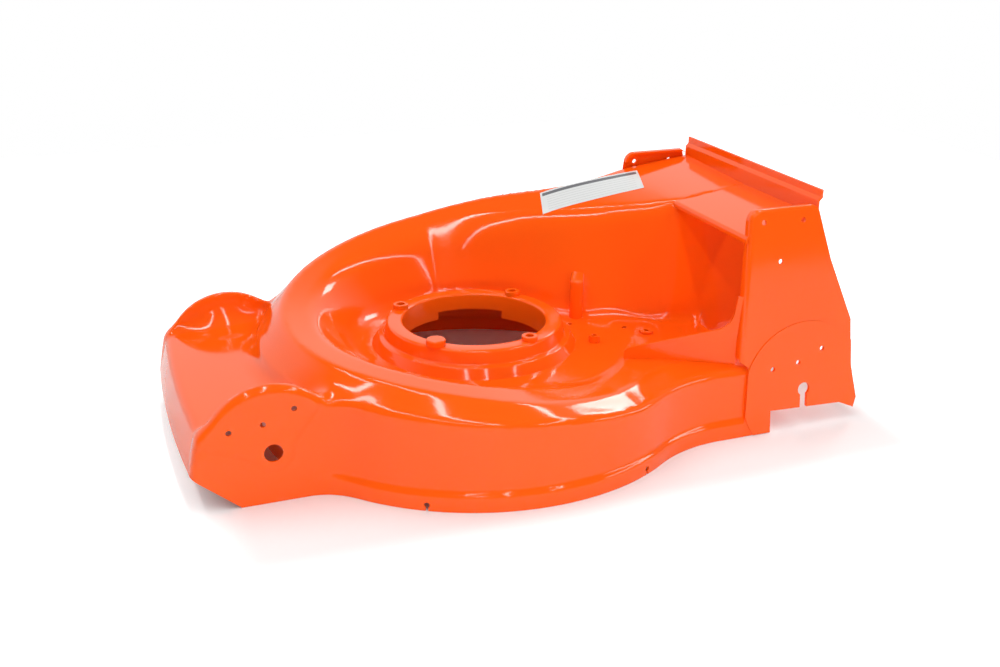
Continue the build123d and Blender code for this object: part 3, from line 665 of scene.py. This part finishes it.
def main_pressing():
    """Skirt, volute, tunnel and platform as one sheet."""
    heights = np.unique(np.concatenate([even(*run) for run in SHELL_HEIGHTS]))
    points, quads = surface_net(chamber_distance, even(*SHELL_BACK), even(*SHELL_ACROSS), heights)
    bm = bm_from(points, quads)
    cut_below(bm, place(0, 0, 0), (0, 0, -1))
    cut_below(bm, place(TUNNEL_REAR, 0, 0), (1, 0, 0))
    bm.normal_update()
    gone = []
    for face in bm.faces:
        x, y, z = face.calc_center_median() * 1000
        low = z + SEAT_HEIGHT < TUNNEL_BOTTOM + TUNNEL_OPEN_RISE
        under = face.normal.z < -0.6 and x > 290
        behind = face.normal.x > 0.7 and x > 300 and y > -33
        if low and (under or behind):
            gone.append(face)
    bmesh.ops.delete(bm, geom=gone, context="FACES")
    shell = thickened(new_object("deck_shell_sheet", bm), SHEET)
    cutter = bmesh.new()
    cylinder(cutter, SEAT_BASE_RADIUS - 8, SEAT_CUT, (0, 0, 100), (0, 0, 1), 128)
    for angle in DRAIN_ANGLES:
        a = math.radians(angle)
        way = Vector((math.cos(a), math.sin(a), 0))
        ring = [(SCREW_RADIUS * math.cos(t), DRAIN_HOLE_HEIGHT + SCREW_RADIUS * math.sin(t))
                for t in np.linspace(-DRAIN_NECK, math.pi + DRAIN_NECK, 25)]
        half = DRAIN_SLOT_WIDTH / 2
        outline = [(-half, DRAIN_BOTTOM), (half, DRAIN_BOTTOM), *ring]
        across = way.cross(Vector((0, 0, 1)))

        def drain(u, v, out, way=way, across=across):
            return way * (SKIRT_RADIUS + out) * 0.001 - across * u * 0.001 + place(0, 0, v)

        prism(cutter, outline, drain, -DRAIN_CUT, DRAIN_CUT)
    for x, y in PLATFORM_HOLES:
        cylinder(cutter, SCREW_RADIUS, PLATFORM_CUT, (x, y, PLATFORM_HEIGHT), (0, 0, 1), 32)
    for side in (-1, 1):
        prism(cutter, PLATE_OUTLINE, side_place(side), 0, PLATE_CUT)
    return carved(shell, cutter)


def front_pressing():
    """Apron, wheel brackets and wheel flares as one sheet."""
    points, quads = surface_net(front_distance, even(*FRONT_BACK), even(*FRONT_ACROSS), even(*FRONT_HEIGHTS))
    middle = points[quads].mean(1)
    clear = chamber_distance(*middle.T) > CLEAR_OF_SHELL
    bm = bm_from(points, quads[clear])
    for _ in range(3):
        loose = {face for v in bm.verts if not v.is_manifold for face in v.link_faces}
        bmesh.ops.delete(bm, geom=list(loose), context="FACES")
        bmesh.ops.delete(bm, geom=[v for v in bm.verts if not v.link_faces], context="VERTS")
    cut_below(bm, place(0, 0, 0), (0, 0, -1))
    side_lip = APRON_OUTLINE[0][0] + BOW_RADIUS - math.sqrt(BOW_RADIUS ** 2 - BRACKET_HALF_WIDTH ** 2)
    geom = list(bm.verts) + list(bm.edges) + list(bm.faces)
    bmesh.ops.bisect_plane(bm, geom=geom, plane_co=place(side_lip, 0, 0), plane_no=(1, 0, 0), dist=1e-6)
    cut_below(bm, place(0, 0, LIP_HEIGHT), (0, 0, -1), lambda c: c.x * 1000 < side_lip)
    slope = Vector((-LIP_HEIGHT, 0, -(BRACKET_FOOT - side_lip))).normalized()
    cut_below(bm, place(BRACKET_FOOT, 0, 0), slope, lambda c: c.x * 1000 > side_lip)
    apron = thickened(new_object("front_apron_sheet", bm), SHEET)
    cutter = bmesh.new()
    for side in (-1, 1):
        x, y, z = FRONT_AXLE[0], side * BRACKET_HALF_WIDTH, FRONT_AXLE[1]
        cylinder(cutter, FRONT_AXLE_RADIUS, BRACKET_CUT, (x, y, z), (0, 1, 0), 64)
        for dx, dz in HEIGHT_HOLES:
            cylinder(cutter, SCREW_RADIUS, BRACKET_CUT, (x + dx, y, z + dz), (0, 1, 0), 32)
    return carved(apron, cutter)


def engine_seat():
    """Two-step ring of the engine seat with its lip, turned from one profile."""
    under = PLATFORM_HEIGHT - SHEET
    roof = SEAT_HEIGHT - SHEET
    outside = [(SEAT_BASE_RADIUS + 4, PLATFORM_HEIGHT - 2.2), (SEAT_BASE_RADIUS + 1, PLATFORM_HEIGHT),
               (SEAT_STEP_RADIUS + 1, SEAT_STEP_HEIGHT), (SEAT_RADIUS + SEAT_DRAFT, SEAT_STEP_HEIGHT + 1),
               (SEAT_RADIUS, SEAT_HEIGHT), (OPENING_RADIUS, SEAT_HEIGHT), (OPENING_RADIUS, under)]
    inside = [(OPENING_RADIUS + SHEET, under), (OPENING_RADIUS + SHEET, roof), (SEAT_RADIUS - SHEET, roof),
              (SEAT_RADIUS + SEAT_DRAFT - SHEET, SEAT_STEP_HEIGHT - 2),
              (SEAT_STEP_RADIUS - 2, SEAT_STEP_HEIGHT - SHEET), (SEAT_BASE_RADIUS - 2, under)]
    profile = rounded(outside + inside, SEAT_ROUNDS, 6)
    bm = bmesh.new()
    rings = []
    for a in np.linspace(0, 2 * math.pi, SEAT_STEPS, endpoint=False):
        rings.append([bm.verts.new(place(r * math.cos(a), r * math.sin(a), z)) for r, z in profile])
    count = len(profile)
    for i, here in enumerate(rings):
        ahead = rings[(i + 1) % SEAT_STEPS]
        for j in range(count):
            k = (j + 1) % count
            bm.faces.new((here[j], ahead[j], ahead[k], here[k]))
    bmesh.ops.recalc_face_normals(bm, faces=bm.faces)
    seat = new_object("engine_seat", bm)
    cutter = bmesh.new()
    arc = np.radians(np.linspace(*NOTCH_ANGLES, 24))
    inner, outer = NOTCH_RADII
    outline = [(inner * math.cos(a), inner * math.sin(a)) for a in arc]
    outline += [(outer * math.cos(a), outer * math.sin(a)) for a in arc[::-1]]
    prism(cutter, outline, place, NOTCH_BOTTOM, NOTCH_HEIGHT)
    for angle in BOLT_ANGLES:
        a = math.radians(angle)
        centre = (BOLT_CIRCLE / 2 * math.cos(a), BOLT_CIRCLE / 2 * math.sin(a), SEAT_HEIGHT)
        cylinder(cutter, BOLT_HOLE_RADIUS, BOLT_CUT, centre, (0, 0, 1))
    return carved(seat, cutter)


def upright_rib():
    """Round-fronted upright rib that stands out of the foot of the inner tunnel wall."""
    turn = math.radians(RIB_TURN)
    layers = [(RIB_RADIUS, PLATFORM_HEIGHT - RIB_FOOT)]
    for a in np.linspace(0, math.pi / 2, 7):
        layers.append((RIB_RADIUS - RIB_ROUND * (1 - math.cos(a)), RIB_TOP - RIB_ROUND * (1 - math.sin(a))))
    half_turn = np.linspace(math.pi / 2, 1.5 * math.pi, 25)
    bm = bmesh.new()
    rings = []
    for radius, z in layers:
        spots = [(RIB_REACH, -radius), (RIB_REACH, radius)]
        spots += [(radius * math.cos(a), radius * math.sin(a)) for a in half_turn]
        rings.append([bm.verts.new(place(RIB_PLACE[0] + u * math.cos(turn) - v * math.sin(turn),
                                         RIB_PLACE[1] + u * math.sin(turn) + v * math.cos(turn), z))
                      for u, v in spots])
    for low, high in zip(rings, rings[1:]):
        for i in range(len(low)):
            k = (i + 1) % len(low)
            bm.faces.new((low[i], low[k], high[k], high[i]))
    bm.faces.new(rings[-1])
    bm.faces.new(rings[0][::-1])
    bmesh.ops.recalc_face_normals(bm, faces=bm.faces)
    return new_object("upright_rib", bm)


def top_panel():
    """Flat sheet with a turned-down front edge, between the tunnel and the left side plate."""
    front = smooth(RAMP_STRAIGHT, PANEL_FRONT) - smooth(DROP_STRAIGHT, PANEL_FRONT)
    rear = smooth(RAMP_STRAIGHT, TUNNEL_REAR) - smooth(DROP_STRAIGHT, TUNNEL_REAR)
    profile = rounded([(PANEL_FRONT, front - PANEL_HEM), (PANEL_FRONT, front), (TUNNEL_REAR, rear),
                       (TUNNEL_REAR, rear - SHEET), (PANEL_FRONT + SHEET, front - SHEET),
                       (PANEL_FRONT + SHEET, front - PANEL_HEM)],
                      [0.8, PANEL_HEM_RADIUS, 0, 0, PANEL_HEM_RADIUS - SHEET, 0.8], 8)
    bm = bmesh.new()
    inner = smooth(CREST_STRAIGHT, PANEL_FRONT)
    right = [bm.verts.new(place(x, inner, z)) for x, z in profile]
    left = [bm.verts.new(place(x, -wall_half_width(z), z)) for x, z in profile]
    bm.faces.new(right)
    bm.faces.new(left[::-1])
    for i in range(len(profile)):
        k = (i + 1) % len(profile)
        bm.faces.new((right[i], left[i], left[k], right[k]))
    bmesh.ops.recalc_face_normals(bm, faces=bm.faces)
    return new_object("top_panel_sheet", bm)


def joined(name, *objects):
    """Several objects as one."""
    bm = bmesh.new()
    for obj in objects:
        bm.from_mesh(obj.data)
        bpy.data.objects.remove(obj)
    return new_object(name, bm)


def smoothed(obj):
    """Smooth shading with edges kept sharp past an angle."""
    bm = bmesh.new()
    bm.from_mesh(obj.data)
    bmesh.ops.dissolve_degenerate(bm, dist=1e-6, edges=bm.edges)
    for face in bm.faces:
        face.smooth = True
    for edge in bm.edges:
        edge.smooth = len(edge.link_faces) == 2 and edge.calc_face_angle(math.pi) < SHARP_EDGE
    bm.to_mesh(obj.data)
    bm.free()
    return obj


def from_solid(node):
    """A copy of a CAD node with its edges broken and its rounds shaded smooth."""
    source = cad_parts[node]
    bm = bmesh.new()
    bm.from_mesh(source.data)
    bmesh.ops.remove_doubles(bm, verts=bm.verts, dist=1e-6)
    bmesh.ops.dissolve_limit(bm, angle_limit=math.radians(1), verts=bm.verts, edges=bm.edges)
    obj = new_object(node + "_finished", bm)
    edge = obj.modifiers.new("edges", "BEVEL")
    edge.width = EDGE_BREAK * 0.001
    edge.segments = 2
    edge.limit_method = "ANGLE"
    edge.angle_limit = math.radians(40)
    edge.use_clamp_overlap = True
    smoothed(baked(obj))
    even_shade = obj.modifiers.new("even_shade", "WEIGHTED_NORMAL")
    even_shade.keep_sharp = True
    return baked(obj)


def sockets(tree, side, kind, *names):
    """Named inputs or outputs of one kind added to a node tree."""
    for name in names:
        tree.interface.new_socket(name, in_out=side, socket_type="NodeSocket" + kind)


def maths(tree, operation, first, second=None):
    """Output of a maths node on numbers or other outputs."""
    node = tree.nodes.new("ShaderNodeMath")
    node.operation = operation
    for socket, value in zip(node.inputs, (first, second)):
        if isinstance(value, (int, float)):
            socket.default_value = value
        elif value is not None:
            tree.links.new(value, socket)
    return node.outputs["Value"]


def mapped(tree, value, low, high, start=0.0, end=1.0, shape="LINEAR"):
    """Output of a node that carries a value from one range to another."""
    node = tree.nodes.new("ShaderNodeMapRange")
    node.interpolation_type = shape
    for name, number in (("From Min", low), ("From Max", high), ("To Min", start), ("To Max", end)):
        node.inputs[name].default_value = number
    tree.links.new(value, node.inputs["Value"])
    return node.outputs["Result"]


def paint_film():
    """Shared paint effect: a faint drift of colour and the fine ripple of sprayed paint."""
    group = bpy.data.node_groups.new("paint_film", "ShaderNodeTree")
    sockets(group, "INPUT", "Color", "Colour", "Deep colour")
    sockets(group, "INPUT", "Float", "Drift scale", "Ripple scale")
    sockets(group, "OUTPUT", "Color", "Colour")
    sockets(group, "OUTPUT", "Float", "Roughness", "Height")
    nodes, links = group.nodes, group.links
    given, result = nodes.new("NodeGroupInput"), nodes.new("NodeGroupOutput")
    spot = nodes.new("ShaderNodeTexCoord")
    drift = nodes.new("ShaderNodeTexNoise")
    drift.inputs["Detail"].default_value = 3
    ripple = nodes.new("ShaderNodeTexNoise")
    ripple.inputs["Detail"].default_value = 1
    mix = nodes.new("ShaderNodeMix")
    mix.data_type = "RGBA"
    rough = mapped(group, drift.outputs["Fac"], 0.0, 1.0, 0.06, 0.12)
    links.new(spot.outputs["Object"], drift.inputs["Vector"])
    links.new(spot.outputs["Object"], ripple.inputs["Vector"])
    links.new(given.outputs["Drift scale"], drift.inputs["Scale"])
    links.new(given.outputs["Ripple scale"], ripple.inputs["Scale"])
    links.new(drift.outputs["Fac"], mix.inputs["Factor"])
    links.new(given.outputs["Colour"], mix.inputs["A"])
    links.new(given.outputs["Deep colour"], mix.inputs["B"])
    links.new(mix.outputs["Result"], result.inputs["Colour"])
    links.new(rough, result.inputs["Roughness"])
    links.new(ripple.outputs["Fac"], result.inputs["Height"])
    return group


FILM = paint_film()


def gloss_paint(name, colour, deep, ripple):
    """Gloss paint on pressed steel."""
    material = bpy.data.materials.new(name)
    material.use_nodes = True
    nodes, links = material.node_tree.nodes, material.node_tree.links
    shader = nodes["Principled BSDF"]
    shader.inputs["IOR"].default_value = 1.5
    shader.inputs["Specular IOR Level"].default_value = 0.42
    film = nodes.new("ShaderNodeGroup")
    film.node_tree = FILM
    film.inputs["Colour"].default_value = (*colour, 1)
    film.inputs["Deep colour"].default_value = (*deep, 1)
    film.inputs["Drift scale"].default_value = 7.0
    film.inputs["Ripple scale"].default_value = 260.0
    bump = nodes.new("ShaderNodeBump")
    bump.inputs["Strength"].default_value = ripple
    bump.inputs["Distance"].default_value = 0.0004
    links.new(film.outputs["Colour"], shader.inputs["Base Color"])
    links.new(film.outputs["Roughness"], shader.inputs["Roughness"])
    links.new(film.outputs["Height"], bump.inputs["Height"])
    links.new(bump.outputs["Normal"], shader.inputs["Normal"])
    return material


ORANGE_PAINT = gloss_paint("orange_gloss_paint", (1.0, 0.114, 0.004), (0.98, 0.1, 0.003), 0.05)


def label_print():
    """Shared print of a label: a grey band along its top and thin rules under it, by the label's own grid."""
    group = bpy.data.node_groups.new("label_print", "ShaderNodeTree")
    sockets(group, "INPUT", "Color", "Paper", "Ink")
    sockets(group, "INPUT", "Float", "Rules")
    sockets(group, "OUTPUT", "Color", "Colour")
    nodes, links = group.nodes, group.links
    given, result = nodes.new("NodeGroupInput"), nodes.new("NodeGroupOutput")
    spot = nodes.new("ShaderNodeUVMap")
    axes = nodes.new("ShaderNodeSeparateXYZ")
    links.new(spot.outputs["UV"], axes.inputs["Vector"])

    def step(*facts):
        return maths(group, *facts)

    def within(place, centre, reach):
        return step("LESS_THAN", step("ABSOLUTE", step("SUBTRACT", place, centre)), reach)

    along, up = axes.outputs["X"], axes.outputs["Y"]
    band = step("MULTIPLY", within(along, 0.5, BAND_REACH[0]), within(up, BAND_MIDDLE, BAND_REACH[1]))
    line = step("LESS_THAN", step("FRACT", step("MULTIPLY", up, given.outputs["Rules"])), RULE_WIDTH)
    bottom, top = RULES_FIELD
    field = step("MULTIPLY", step("LESS_THAN", up, top), step("GREATER_THAN", up, bottom))
    field = step("MULTIPLY", field, within(along, 0.5, RULES_REACH))
    rules = step("MULTIPLY", step("MULTIPLY", line, RULE_STRENGTH), field)
    mix = nodes.new("ShaderNodeMix")
    mix.data_type = "RGBA"
    links.new(step("MAXIMUM", band, rules), mix.inputs["Factor"])
    links.new(given.outputs["Paper"], mix.inputs["A"])
    links.new(given.outputs["Ink"], mix.inputs["B"])
    links.new(mix.outputs["Result"], result.inputs["Colour"])
    return group


def printed_label(name, paper, ink, rules):
    """Satin film with a plain print."""
    material = bpy.data.materials.new(name)
    material.use_nodes = True
    nodes, links = material.node_tree.nodes, material.node_tree.links
    shader = nodes["Principled BSDF"]
    shader.inputs["Roughness"].default_value = 0.35
    look = nodes.new("ShaderNodeGroup")
    look.node_tree = label_print()
    look.inputs["Paper"].default_value = (*paper, 1)
    look.inputs["Ink"].default_value = (*ink, 1)
    look.inputs["Rules"].default_value = rules
    links.new(look.outputs["Colour"], shader.inputs["Base Color"])
    return material


WHITE_LABEL = printed_label("white_label", (0.7, 0.71, 0.7), (0.14, 0.14, 0.15), 9.0)


def sticker():
    """Plain white label lying on the far side of the tunnel top."""
    along, up = np.meshgrid(*[np.linspace(0, 1, n) for n in STICKER_GRID], indexing="ij")
    far_front, far_rear, near_rear, near_front = (np.array(c) for c in STICKER_CORNERS)
    near = near_front + (near_rear - near_front) * along[..., None]
    far = far_front + (far_rear - far_front) * along[..., None]
    x, y = (near + (far - near) * up[..., None]).reshape(-1, 2).T
    low, high = (np.full(x.shape, level) for level in STICKER_SEARCH)
    for _ in range(STICKER_HALVINGS):
        middle = 0.5 * (low + high)
        buried = chamber_distance(x, y, middle) < 0
        low, high = np.where(buried, middle, low), np.where(buried, high, middle)
    rows, columns = along.shape
    corner = np.arange(rows * columns).reshape(rows, columns)
    faces = np.stack([corner[:-1, :-1], corner[1:, :-1], corner[1:, 1:], corner[:-1, 1:]], -1).reshape(-1, 4)
    bm = bm_from(np.stack([x, y, high], 1), faces)
    grid = bm.loops.layers.uv.new("grid")
    for face in bm.faces:
        for loop in face.loops:
            i, j = divmod(loop.vert.index, columns)
            loop[grid].uv = (along[i, 0], up[0, j])
    bm.normal_update()
    for vert in bm.verts:
        vert.co += vert.normal * STICKER_LIFT * 0.001
    return thickened(new_object("white_sticker", bm), STICKER_THICKNESS)


def collar_nodes():
    """Node tree that turns a rounded collar and stands one on every point."""
    tree = bpy.data.node_groups.new("bolt_collars", "GeometryNodeTree")
    sockets(tree, "INPUT", "Geometry", "Points")
    sockets(tree, "INPUT", "Float", "Outer radius", "Hole radius", "Height", "Edge round")
    sockets(tree, "INPUT", "Material", "Paint")
    sockets(tree, "OUTPUT", "Geometry", "Collars")
    nodes, links = tree.nodes, tree.links
    given, result = nodes.new("NodeGroupInput"), nodes.new("NodeGroupOutput")
    outer, hole = given.outputs["Outer radius"], given.outputs["Hole radius"]
    path = nodes.new("GeometryNodeCurvePrimitiveCircle")
    path.inputs["Resolution"].default_value = 64
    links.new(maths(tree, "MULTIPLY", maths(tree, "ADD", outer, hole), 0.5), path.inputs["Radius"])
    section = nodes.new("GeometryNodeCurvePrimitiveQuadrilateral")
    links.new(maths(tree, "SUBTRACT", outer, hole), section.inputs["Width"])
    links.new(given.outputs["Height"], section.inputs["Height"])
    fillet = nodes.new("GeometryNodeFilletCurve")
    fillet.mode = "POLY"
    fillet.inputs["Count"].default_value = 4
    links.new(section.outputs["Curve"], fillet.inputs["Curve"])
    links.new(given.outputs["Edge round"], fillet.inputs["Radius"])
    turned = nodes.new("GeometryNodeCurveToMesh")
    links.new(path.outputs["Curve"], turned.inputs["Curve"])
    links.new(fillet.outputs["Curve"], turned.inputs["Profile Curve"])
    shade = nodes.new("GeometryNodeSetShadeSmooth")
    links.new(turned.outputs["Mesh"], shade.inputs["Geometry"])
    stand = nodes.new("GeometryNodeInstanceOnPoints")
    links.new(given.outputs["Points"], stand.inputs["Points"])
    links.new(shade.outputs["Geometry"], stand.inputs["Instance"])
    real = nodes.new("GeometryNodeRealizeInstances")
    links.new(stand.outputs["Instances"], real.inputs["Geometry"])
    paint = nodes.new("GeometryNodeSetMaterial")
    links.new(real.outputs["Geometry"], paint.inputs["Geometry"])
    links.new(given.outputs["Paint"], paint.inputs["Material"])
    links.new(paint.outputs["Geometry"], result.inputs["Collars"])
    return tree


def bolt_collars(material):
    """Collars round the engine bolt holes, with their feet sunk a little into the seat."""
    middle = SEAT_HEIGHT + (COLLAR_HEIGHT - COLLAR_SINK) / 2
    spots = [place(BOLT_CIRCLE / 2 * math.cos(a), BOLT_CIRCLE / 2 * math.sin(a), middle)
             for a in np.radians(BOLT_ANGLES)]
    mesh = bpy.data.meshes.new("bolt_collars")
    mesh.from_pydata([list(s) for s in spots], [], [])
    obj = bpy.data.objects.new("bolt_collars", mesh)
    bpy.context.scene.collection.objects.link(obj)
    tree = collar_nodes()
    inputs = {item.name: item.identifier for item in tree.interface.items_tree if item.in_out == "INPUT"}
    modifier = obj.modifiers.new("collars", "NODES")
    modifier.node_group = tree
    modifier[inputs["Outer radius"]] = COLLAR_RADIUS * 0.001
    modifier[inputs["Hole radius"]] = BOLT_HOLE_RADIUS * 0.001
    modifier[inputs["Height"]] = (COLLAR_HEIGHT + COLLAR_SINK) * 0.001
    modifier[inputs["Edge round"]] = COLLAR_ROUND * 0.001
    modifier[inputs["Paint"]] = material
    return baked(obj)


def finish_piece(obj, node):
    """Orange paint on a piece, which rides on the root and stands for a CAD node."""
    obj.data.materials.clear()
    obj.data.materials.append(ORANGE_PAINT)
    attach(obj, "root")
    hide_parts(node)


shell = joined("deck_shell_pressing", main_pressing(), engine_seat(), upright_rib())
finish_piece(smoothed(shell), "deck_shell")
finish_piece(smoothed(front_pressing()), "front_apron")
finish_piece(smoothed(top_panel()), "top_panel")
for node in ("side_plate_left", "side_plate_right", "flap_rail", "belt_guard",
             "engine_rest_pad", "platform_bosses"):
    finish_piece(from_solid(node), node)
finish_piece(bolt_collars(ORANGE_PAINT), "engine_collars")
label = smoothed(sticker())
label.data.materials.append(WHITE_LABEL)
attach(label, "root")


def camera():
    """Camera fitted to the photograph."""
    yaw, pitch, roll = CAMERA_TURN
    ahead = Vector((math.sin(yaw) * math.cos(pitch), math.cos(yaw) * math.cos(pitch), -math.sin(pitch)))
    right = Vector((math.cos(yaw), -math.sin(yaw), 0))
    up = right.cross(ahead)
    tilted = right * math.cos(roll) + up * math.sin(roll)
    upright = up * math.cos(roll) - right * math.sin(roll)
    data = bpy.data.cameras.new("camera")
    data.sensor_width = 36
    data.lens = CAMERA_LENS
    data.clip_end = 50
    obj = bpy.data.objects.new("camera", data)
    turn = Matrix((tilted, upright, -ahead)).transposed().to_4x4()
    obj.matrix_world = Matrix.Translation(CAMERA_SPOT) @ turn
    bpy.context.scene.collection.objects.link(obj)
    bpy.context.scene.camera = obj


def softbox(name, spot, aim, width, height, power, mirrored):
    """A soft rectangular studio lamp, which shows in the gloss of the paint or only lights it."""
    data = bpy.data.lights.new(name, "AREA")
    data.shape = "RECTANGLE"
    data.size = width
    data.size_y = height
    data.energy = power
    obj = bpy.data.objects.new(name, data)
    way = (Vector(aim) - Vector(spot)).normalized()
    obj.matrix_world = Matrix.Translation(spot) @ way.to_track_quat("-Z", "Y").to_matrix().to_4x4()
    obj.visible_glossy = mirrored
    bpy.context.scene.collection.objects.link(obj)


def white_floor():
    """Pale floor that shows white and keeps the shadow of the deck."""
    bm = bmesh.new()
    bmesh.ops.create_grid(bm, x_segments=1, y_segments=1, size=FLOOR_HALF)
    bmesh.ops.translate(bm, verts=bm.verts, vec=(0, 0, -SEAT_HEIGHT * 0.001 - FLOOR_GAP))
    floor = new_object("floor", bm)
    material = bpy.data.materials.new("white_floor")
    material.use_nodes = True
    nodes, links = material.node_tree.nodes, material.node_tree.links
    shader = nodes["Principled BSDF"]
    shader.inputs["Base Color"].default_value = (0.9, 0.9, 0.9, 1)
    shader.inputs["Roughness"].default_value = 0.8
    shader.inputs["Specular IOR Level"].default_value = 0.1
    shader.inputs["Emission Color"].default_value = (1, 1, 1, 1)
    spot = nodes.new("ShaderNodeTexCoord").outputs["Object"]
    for operation, fixed in (("SUBTRACT", FOOTPRINT_CENTRE), ("ABSOLUTE", None), ("SUBTRACT", FOOTPRINT_HALF),
                             ("MAXIMUM", (0, 0, 0)), ("LENGTH", None)):
        step = nodes.new("ShaderNodeVectorMath")
        step.operation = operation
        if fixed:
            step.inputs[1].default_value = fixed
        links.new(spot, step.inputs[0])
        spot = step.outputs["Value" if operation == "LENGTH" else "Vector"]
    clear = mapped(material.node_tree, spot, 0.0, FLOOR_FADE, 0.0, FLOOR_LIFT, "SMOOTHSTEP")
    path = nodes.new("ShaderNodeLightPath")
    lift = maths(material.node_tree, "MULTIPLY", path.outputs["Is Camera Ray"], clear)
    links.new(lift, shader.inputs["Emission Strength"])
    floor.data.materials.append(material)


def white_world():
    """White surround, which lights the deck from behind and leaves the ceiling and the front dim."""
    world = bpy.data.worlds.new("studio")
    bpy.context.scene.world = world
    world.use_nodes = True
    nodes, links = world.node_tree.nodes, world.node_tree.links
    background = nodes["Background"]
    background.inputs["Color"].default_value = (1, 1, 1, 1)
    spot = nodes.new("ShaderNodeTexCoord")
    axes = nodes.new("ShaderNodeSeparateXYZ")
    links.new(spot.outputs["Generated"], axes.inputs["Vector"])
    tree = world.node_tree
    behind = mapped(tree, axes.outputs["Y"], *SURROUND_BEHIND)
    low = mapped(tree, axes.outputs["Z"], *SURROUND_LOW)
    room = mapped(tree, maths(tree, "MULTIPLY", behind, low), 0.0, 1.0, SURROUND_DIM, 1.0)
    path = nodes.new("ShaderNodeLightPath")
    level = nodes.new("ShaderNodeMix")
    level.data_type = "FLOAT"
    level.inputs["B"].default_value = 1.0
    links.new(path.outputs["Is Camera Ray"], level.inputs["Factor"])
    links.new(room, level.inputs["A"])
    links.new(level.outputs["Result"], background.inputs["Strength"])


def studio():
    """Three ceiling strips, two side lamps and soft fill light round the deck."""
    white_floor()
    white_world()
    for lamp in LAMPS:
        softbox(*lamp)


camera()
studio()
bpy.context.scene.view_settings.view_transform = "Standard"
